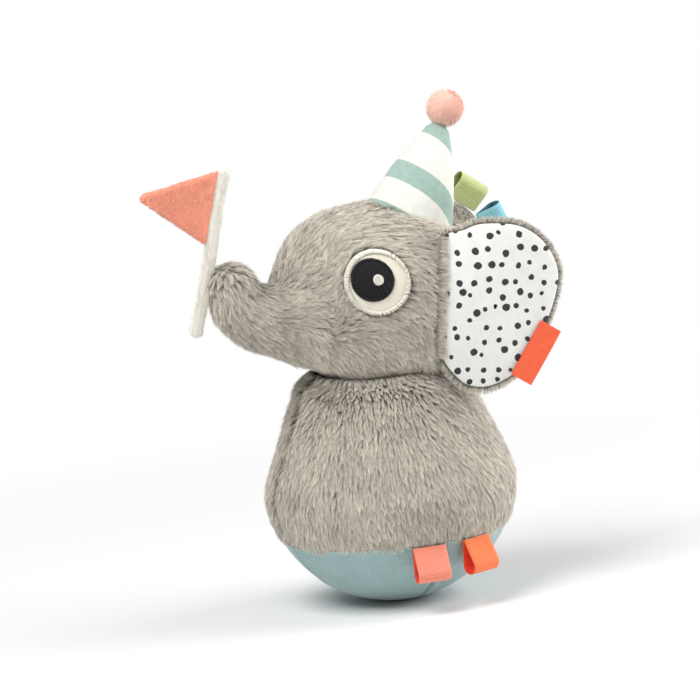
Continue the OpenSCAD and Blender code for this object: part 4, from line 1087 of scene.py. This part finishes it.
def loop_build(reach, seed):
    """A loop of ribbed ribbon in its own frame: y along its width, reaching down from its root."""
    path, normal, at = loop_path(reach)
    across = np.linspace(-0.5, 0.5, 13)
    rib = RIB_HEIGHT * (0.5 + 0.5 * np.sin(2 * math.pi * at / RIB_PITCH))[:, None]
    sag = SAG_RISE * noise(stacked(at, 0, seed), SAG_SCALE, seed)[:, None]
    edge = np.where(np.abs(across) > 0.49, SELVEDGE_SHARE, 1.0)
    faces = []
    for face in (1, -1):
        lift = face * (RIBBON_T / 2 - RIB_SINK + rib) * edge + sag * across
        flat = path[:, None] + normal[:, None] * lift[..., None]
        faces.append(stacked(flat[..., 0], across * RIBBON_W, flat[..., 1]))
    points = np.concatenate([faces[0], faces[1][:, ::-1]], 1)
    rows, cols = points.shape[:2]
    place = np.r_[across * RIBBON_W, across[::-1] * RIBBON_W + INNER_SIDE]
    j = np.arange(len(across) - 1)
    end = stacked(j, j + 1, cols - 2 - j, cols - 1 - j)
    sides = [grid_faces(rows, cols, True, True), end, end[:, ::-1] + (rows - 1) * cols]
    return Build().add(points, sides, uv=stacked(place, at[:, None]))


def ear_loop_places(share):
    at = turned((ear_heading(share), 0, 0), (0, *ear_spot(share)))
    return [MIRROR_X, EAR_PLACE, at, turned(move=(0, 0, LOOP_CLEAR)), MIRROR_Z]


def base_loop_places(angle):
    seam = turned(move=(SEAM_R + LOOP_CLEAR, 0, SEAM_Z - LOOP_CLEAR))
    return [turned((0, 0, angle)), seam, turned((0, -BASE_LOOP_OUT, 0))]


def make_loops():
    base = (BASE_LOOP_L, "base_gore_front_left")
    ear = (EAR_LOOP_L, "right_ear_back")
    loops = [
        ("coral", "base_loop_coral", base, (250, 146, 122), (225, 130, 120), base_loop_places(CORAL_ANGLE)),
        ("orange", "base_loop_orange", base, (252, 126, 72), (255, 150, 140), base_loop_places(ORANGE_ANGLE)),
        ("green", "ear_loop_green", ear, (192, 202, 138), (190, 195, 165), ear_loop_places(GREEN_SHARE)),
        ("blue", "ear_loop_blue", ear, (142, 206, 218), (150, 180, 190), ear_loop_places(BLUE_SHARE)),
    ]
    for k, (name, node, (reach, carrier), colour, inner, places) in enumerate(loops):
        build = loop_build(reach, 70 + k).moved(*places)
        material = ribbon_material(f"{name}_ribbon", colour, inner)
        piece = make_piece(f"{name}_ribbon_loop", build, [material], f"{name}_loop", [node])


def make_label():
    """A bare woven label, folded at its outer edge and open where it is sewn in."""
    across = np.linspace(0, 1, 15)
    half = LABEL_T / 2 - LABEL_THIN
    outer = ringed(half, arc(0, 180, 9)) + [0, LABEL_W - half]
    flat = np.linspace(0, LABEL_W - half, 16)
    line = np.concatenate([stacked(half, flat)[:-1], outer, stacked(-half, flat[::-1])[1:]])
    along = run_along(line)
    x, z = line[:, :1], line[:, 1:]
    bow = LABEL_BOW * (1 - (2 * across - 1) ** 2) * (z / LABEL_W) ** 2
    points = stacked(x + bow + LABEL_T / 2, across * LABEL_L, z)
    points[..., 0] += LABEL_RIPPLE * noise(points, LABEL_RIPPLE_SCALE, 81)
    build = Build().grid(points, uv=stacked(across * LABEL_L, along[:, None]))
    build.moved(EAR_PLACE, turned((ear_heading(LABEL_SHARE), 0, 0), (LABEL_X, *ear_spot(LABEL_SHARE))),
                turned(move=(0, -LABEL_L / 2, -LABEL_INSET)))
    piece = make_piece("ear_label_folded", build, [label_material()], "label", ["ear_label"])


# Hat

HAT_SLOPE = math.atan((HAT_R - HAT_TOP_R) / HAT_L)
CROWN_R = CROWN_FIT_SHARE * HEAD_UP
CROWN_Z = HEAD_Z + HEAD_UP + CROWN_GAP - CROWN_R
POM_CORE_R = 7.6
FOLD_RISE, FOLD_SCALE, CREASE_RISE, CREASE_SCALE = 0.5, 11.0, 0.22, 4.5
HAT_SEAM_DIP, HAT_SEAM_DIP_W = 0.8, 1.2
FOOT_ROLL, FOOT_ROLL_SHARE, TOP_ROLL, TOP_ROLL_SHARE = 1.1, 0.05, 1.2, 0.05
# How far the lip at the hat's top runs inward and up, and its place in the print
LIP_STEPS, LIP_PRINT = ((0, 0), (2.0, 0.3), (2.8, 0.3)), (12.0, 0.0)


def hat_point(t, a):
    """Points on the hat's cloth at shares t of its length and angles a round its middle line."""
    r = HAT_R + (HAT_TOP_R - HAT_R) * t + HAT_BULGE * np.sin(math.pi * np.clip(t, 0, 1)) * (t > 0)
    return placed(ringed(r, a, HAT_L * t), HAT_PLACE)


def hat_foot(a):
    """Shares of the hat's length at which its cloth meets the crown, found by halving."""
    low, high = np.full(len(a), -1.0), np.full(len(a), 1.0)
    for _ in range(24):
        t = (low + high) / 2
        inside = size(hat_point(t, a) - [0, 0, CROWN_Z]) < CROWN_R - PLUSH_DEPTH
        low, high = np.where(inside, t, low), np.where(inside, high, t)
    return high


def make_cone():
    """The striped cone, with its seam at the back, soft folds and its edges rolled in."""
    turn = arc(-180, 180, 129)
    a = turn + math.radians(STRIPE_TURN)
    share = np.linspace(0, 1, 49)[:, None]
    foot = hat_foot(a)
    t = foot + (1 - foot) * share
    points = hat_point(t, a)
    out = points - placed(stacked(0, 0, HAT_L * t), HAT_PLACE)
    fold = FOLD_RISE * noise(points, FOLD_SCALE, 91)
    crease = CREASE_RISE * noise(points, CREASE_SCALE, 92) * (1 - share)
    dip = HAT_SEAM_DIP * bell((math.pi - np.abs(turn)) * size(out), HAT_SEAM_DIP_W)
    roll = FOOT_ROLL * (1 - np.minimum(share / FOOT_ROLL_SHARE, 1)) ** 2
    roll = roll + TOP_ROLL * smooth(1 - TOP_ROLL_SHARE, 1.0, share)
    points = points + unit(out) * (fold + crease - dip - roll)[..., None]
    slant = (HAT_TOP_R / math.tan(HAT_SLOPE) + HAT_L * (1 - t)) / math.cos(HAT_SLOPE)
    uv = ringed(slant, turn * math.sin(HAT_SLOPE))
    axis = HAT_PLACE[:3, 2]
    lip = np.stack([points[-1] + axis * up - unit(out[-1]) * inward for inward, up in LIP_STEPS])
    build = Build().grid(points, uv=uv, flip=True).grid(lip, uv=LIP_PRINT, flip=True)
    cone = make_piece("hat_striped_cone", build, [hat_material()], "toy", ["hat_cone"])


def make_pompom():
    middle = placed([0, 0, HAT_L + SEAT_GAP + math.sqrt(POM_R**2 - HAT_TOP_R**2)], HAT_PLACE)
    lat = arc(1, 179, 40)[:, None]
    ball = ringed(np.sin(lat), arc(0, 360, 61), np.cos(lat))
    core = Skin(middle + ball * POM_CORE_R, np.cross(ball, [0.3, 0.2, 1.0]), ball)
    pom = fibres(core.backing(), core, POMPOM_PILE, 95)
    pom = make_piece("hat_pompom_pile", pom, [pom_pile, pom_core], "toy", ["hat_pompom"], "OFBake")


# Flag

FLAG_PLACE = turned((-STRIP_LEAN, 0, 0), SEAMS["flag_swing"])
STRIP_END_SHARE, STRIP_SQUARE = 0.045, 0.7
PINCH_DIP, PINCH_INSET, PINCH_W = 0.45, 1.0, 0.6
PENNANT_EDGE_W, WAVE_RISE, WAVE_SCALE, RIPPLE_RISE, RIPPLE_SCALE = 2.2, 0.5, 14.0, 0.2, 5.0


def make_strip():
    """The strip: a folded length of velour with round edges, sewn shut along its front edge."""
    z = np.linspace(0, 1, 90)[:, None]
    a = arc(0, 360, 25)
    past = np.maximum(np.abs(2 * z - 1) - (1 - STRIP_END_SHARE), 0)
    end = np.sqrt(np.maximum(1 - past**2 / STRIP_END_SHARE**2, 0.0))
    x = STRIP_T / 2 * (0.3 + 0.7 * end) * powered(np.sin(a), STRIP_SQUARE)
    y = STRIP_W / 2 * (0.25 + 0.75 * end) * powered(np.cos(a), STRIP_SQUARE)
    points = stacked(x, y - STRIP_W / 2, STRIP_L * (z - STRIP_HOLD_SHARE))
    pinch = PINCH_DIP * bell(points[..., 1] + STRIP_W - PINCH_INSET, PINCH_W)
    points[..., 0] -= np.sign(x) * np.minimum(pinch, np.abs(x) * 0.8)
    points[..., 0] += 0.25 * noise(points * [0, 0, 1], 12.0, 101)
    points[..., 1] += 0.35 * noise(points * [0, 0, 1], 17.0, 102)
    skin = Skin(points, [0.0, 0.35, -1.0], stacked(x, y * 0.6, 0))
    build = fibres(skin.backing(), skin, STRIP_PILE, 103).moved(FLAG_PLACE)
    piece = make_piece("flag_strip", build, [strip_velour, strip_cloth], "flag", ["flag_pole"],
                       "OFBake")


def pennant_half(share):
    """Half depth of the pennant at shares of its length, with its rounded tip."""
    reach, rise = PENNANT_L - PENNANT_ROUND, PENNANT_H / 2 - PENNANT_ROUND
    slope = math.asin(rise / math.hypot(reach, rise))
    u = share * PENNANT_L
    round_start = reach + PENNANT_ROUND * math.sin(slope)
    edge = PENNANT_ROUND * math.cos(slope)
    straight = edge + (PENNANT_H / 2 - edge) * (1 - u / round_start)
    tip = np.sqrt(np.maximum(PENNANT_ROUND**2 - (u - reach) ** 2, 0))
    return np.where(u < round_start, straight, tip)


def make_pennant():
    share = np.r_[np.linspace(0, 0.9, 34), np.linspace(0.91, 1, 12)][:, None]
    v = bunched(37)
    half = pennant_half(share)
    middle_z = (1 - STRIP_HOLD_SHARE) * STRIP_L - PENNANT_TOP_GAP - PENNANT_H / 2
    edge = np.minimum((1 - np.abs(v)) * half, (1 - share) * PENNANT_L)
    puff = (PENNANT_T + 0.1) * np.sqrt(1 - (1 - np.clip(edge / PENNANT_EDGE_W, 0, 1)) ** 2) - 0.15
    for side, name in ((1, "front"), (-1, "back")):
        points = stacked(side * puff, -STRIP_W - share * PENNANT_L, middle_z + half * v)
        wave = WAVE_RISE * noise(points * [0, 1, 1], WAVE_SCALE, 111) * smooth(0.05, 0.5, share)
        points[..., 0] += wave + side * RIPPLE_RISE * noise(points, RIPPLE_SCALE, 112 + side)
        skin = Skin(points, [0.0, -0.8, -0.6], [side, 0.0, 0])
        cloth = skin.backing(NAP_DEPTH).moved(FLAG_PLACE)
        cloth = make_piece(f"pennant_{name}_cloth", cloth, [coral_pile, coral_back], "flag", [f"flag_{name}"],
                           "OFBake")
        nap = fibres(Build(), skin.lowered(NAP_DEPTH), PENNANT_NAP, 113 + side).moved(FLAG_PLACE)
        nap = make_piece(f"pennant_{name}_nap", nap, [coral_pile], "flag", (), "OFBake")


# Inside: bumpy wadding, and the rocker and chime as they are

WADDING_VOXEL, WADDING_SINK, WADDING_LUMP = 2.2, 0.9, 0.5
NECK_SINK, NECK_SINK_W = 5.0, 8.0


def make_wadding():
    for node in ("body_stuffing", "head_stuffing", "hat_stuffing"):
        made = linked(node.replace("stuffing", "wadding"), frame["nodes"][node].data.copy())
        made.data.materials.clear()
        made.data.materials.append(wadding)
        remesh = made.modifiers.new("even", "REMESH")
        remesh.mode, remesh.voxel_size = "VOXEL", WADDING_VOXEL * MM
        mesh = bpy.data.meshes.new_from_object(made.evaluated_get(bpy.context.evaluated_depsgraph_get()))
        made.modifiers.clear()
        made.data = mesh
        co, normal = read_vectors(mesh, "co"), read_vectors(mesh, "normal")
        lumps = noise(co / MM, 9.0, 121) + 0.5 * noise(co / MM, 4.0, 122)
        neck = bell(co[:, 2] / MM - NECK_Z, NECK_SINK_W)
        sink = WADDING_SINK + WADDING_LUMP * lumps + NECK_SINK * neck
        co = co - normal * (sink * MM)[:, None]
        mesh.vertices.foreach_set("co", co.astype(np.float32).ravel())
        mesh.polygons.foreach_set("use_smooth", np.ones(len(mesh.polygons), bool))
        stand_for(made, "toy", [node])


def dress_inside():
    finishes = {
        white_plastic: ("rocker_bowl", "rocker_dome", "chime_hub"),
        iron: ("counterweight",),
        steel: ("counterweight_screws", "dome_screws", "chime_hub_screw", "clapper_pin"),
        brass: ("chime_rods", "clapper"),
    }
    for material, nodes in finishes.items():
        for node in nodes:
            data = frame["nodes"][node].data
            data.materials.clear()
            data.materials.append(material)


# Stage: floor, world, lamps and camera

CAMERA_AZIMUTH, CAMERA_ELEVATION, CAMERA_ROLL = 70.0, 10.0, 5.5
CAMERA_FAR, FRAME_WIDTH, SENSOR_WIDTH = 5000.0, 308.0, 36.0
AIM_HEIGHT, AIM_LEFT, AIM_UP = 55.0, 17.4, 54.6
FLOOR_RINGS, FLOOR_SIDES = np.array([0.0, 200, 500, 1200, 3000, 6000])[:, None], 96
SHADOW_START, SHADOW_END = 110.0, 430.0
WHITE, FLOOR_COLOUR, WORLD_STRENGTH = (1, 1, 1, 1), (0.86, 0.86, 0.86, 1), 0.24
LAMP_MIDDLE, LAMP_FAR = Vector((0, 0, 110)), 900.0
# Each lamp's turn from the camera, its elevation, its width and its watts
LAMPS = {"key": (-42, 54, 600, 8.2), "fill": (100, 26, 800, 8.4), "top": (180, 78, 900, 0.6)}


def make_stage():
    """A pale floor that keeps the shadow near the toy and turns to white further out."""
    points = ringed(FLOOR_RINGS, arc(0, 360, FLOOR_SIDES + 1)[:-1], 0).reshape(-1, 3) * MM
    mesh = bpy.data.meshes.new("floor")
    mesh.from_pydata(points.tolist(), [], grid_faces(len(FLOOR_RINGS), FLOOR_SIDES, True).tolist())
    m = Material("pale_floor", Roughness=0.9, Base_Color=FLOOR_COLOUR, Specular_IOR_Level=0.0)
    far = m.add("VectorMath", {0: m.place()}, out=1, operation="LENGTH")
    share = m.math("MULTIPLY", m.span(far, 0.0, 1.0, SHADOW_START, SHADOW_END), m.seen_ray())
    glow = m.add("Emission", {"Color": WHITE, "Strength": 1.0})
    m.show("Material Output", share, m.shader.outputs[0], glow)
    mesh.materials.append(m.data)
    linked("floor", mesh)

    SCENE.world = bpy.data.worlds.new("studio")
    w = Nodes(SCENE.world)
    soft, white = (w.add("Background", {"Color": WHITE, "Strength": s}) for s in (WORLD_STRENGTH, 1.0))
    w.show("World Output", w.seen_ray(), soft, white)
    SCENE.view_settings.view_transform = "Standard"


def axes_of(azimuth, elevation):
    """The viewer's right and up, and the way back to the viewer."""
    a, e = math.radians(azimuth), math.radians(elevation)
    back = Vector((math.sin(a) * math.cos(e), -math.cos(a) * math.cos(e), math.sin(e)))
    right = Vector((math.cos(a), math.sin(a), 0))
    return right, back.cross(right), back


def set_up(name, data, right, up, back, aim, far):
    """A camera or a lamp that looks at a place from that far."""
    made = linked(name, data)
    turn = Matrix((right, up, back)).transposed().to_4x4()
    made.matrix_world = Matrix.Translation((aim + back * far) * MM) @ turn
    return made


def make_camera():
    right, up, back = axes_of(CAMERA_AZIMUTH, CAMERA_ELEVATION)
    roll = math.radians(CAMERA_ROLL)
    right, up = right * math.cos(roll) - up * math.sin(roll), right * math.sin(roll) + up * math.cos(roll)
    aim = Vector((0, 0, AIM_HEIGHT)) - right * AIM_LEFT + up * AIM_UP
    data = bpy.data.cameras.new("camera")
    data.sensor_width, data.lens, data.clip_end = SENSOR_WIDTH, SENSOR_WIDTH * CAMERA_FAR / FRAME_WIDTH, 100.0
    SCENE.camera = set_up("camera", data, right, up, back, aim, CAMERA_FAR)


def make_lamps():
    """Large soft lamps: a key high on the viewer's left, a fill on the right, and one overhead."""
    for name, (turn, elevation, width, watts) in LAMPS.items():
        data = bpy.data.lights.new(name, "AREA")
        data.energy, data.size = watts, width * MM
        set_up(name, data, *axes_of(CAMERA_AZIMUTH + turn, elevation), LAMP_MIDDLE, LAMP_FAR)


for make in (
    make_camera, make_stage, make_lamps, make_base, make_body, make_head, make_eyes, make_ears, make_loops,
    make_label, make_cone, make_pompom, make_strip, make_pennant, make_wadding, dress_inside,
):
    make()

bpy.context.view_layer.update()
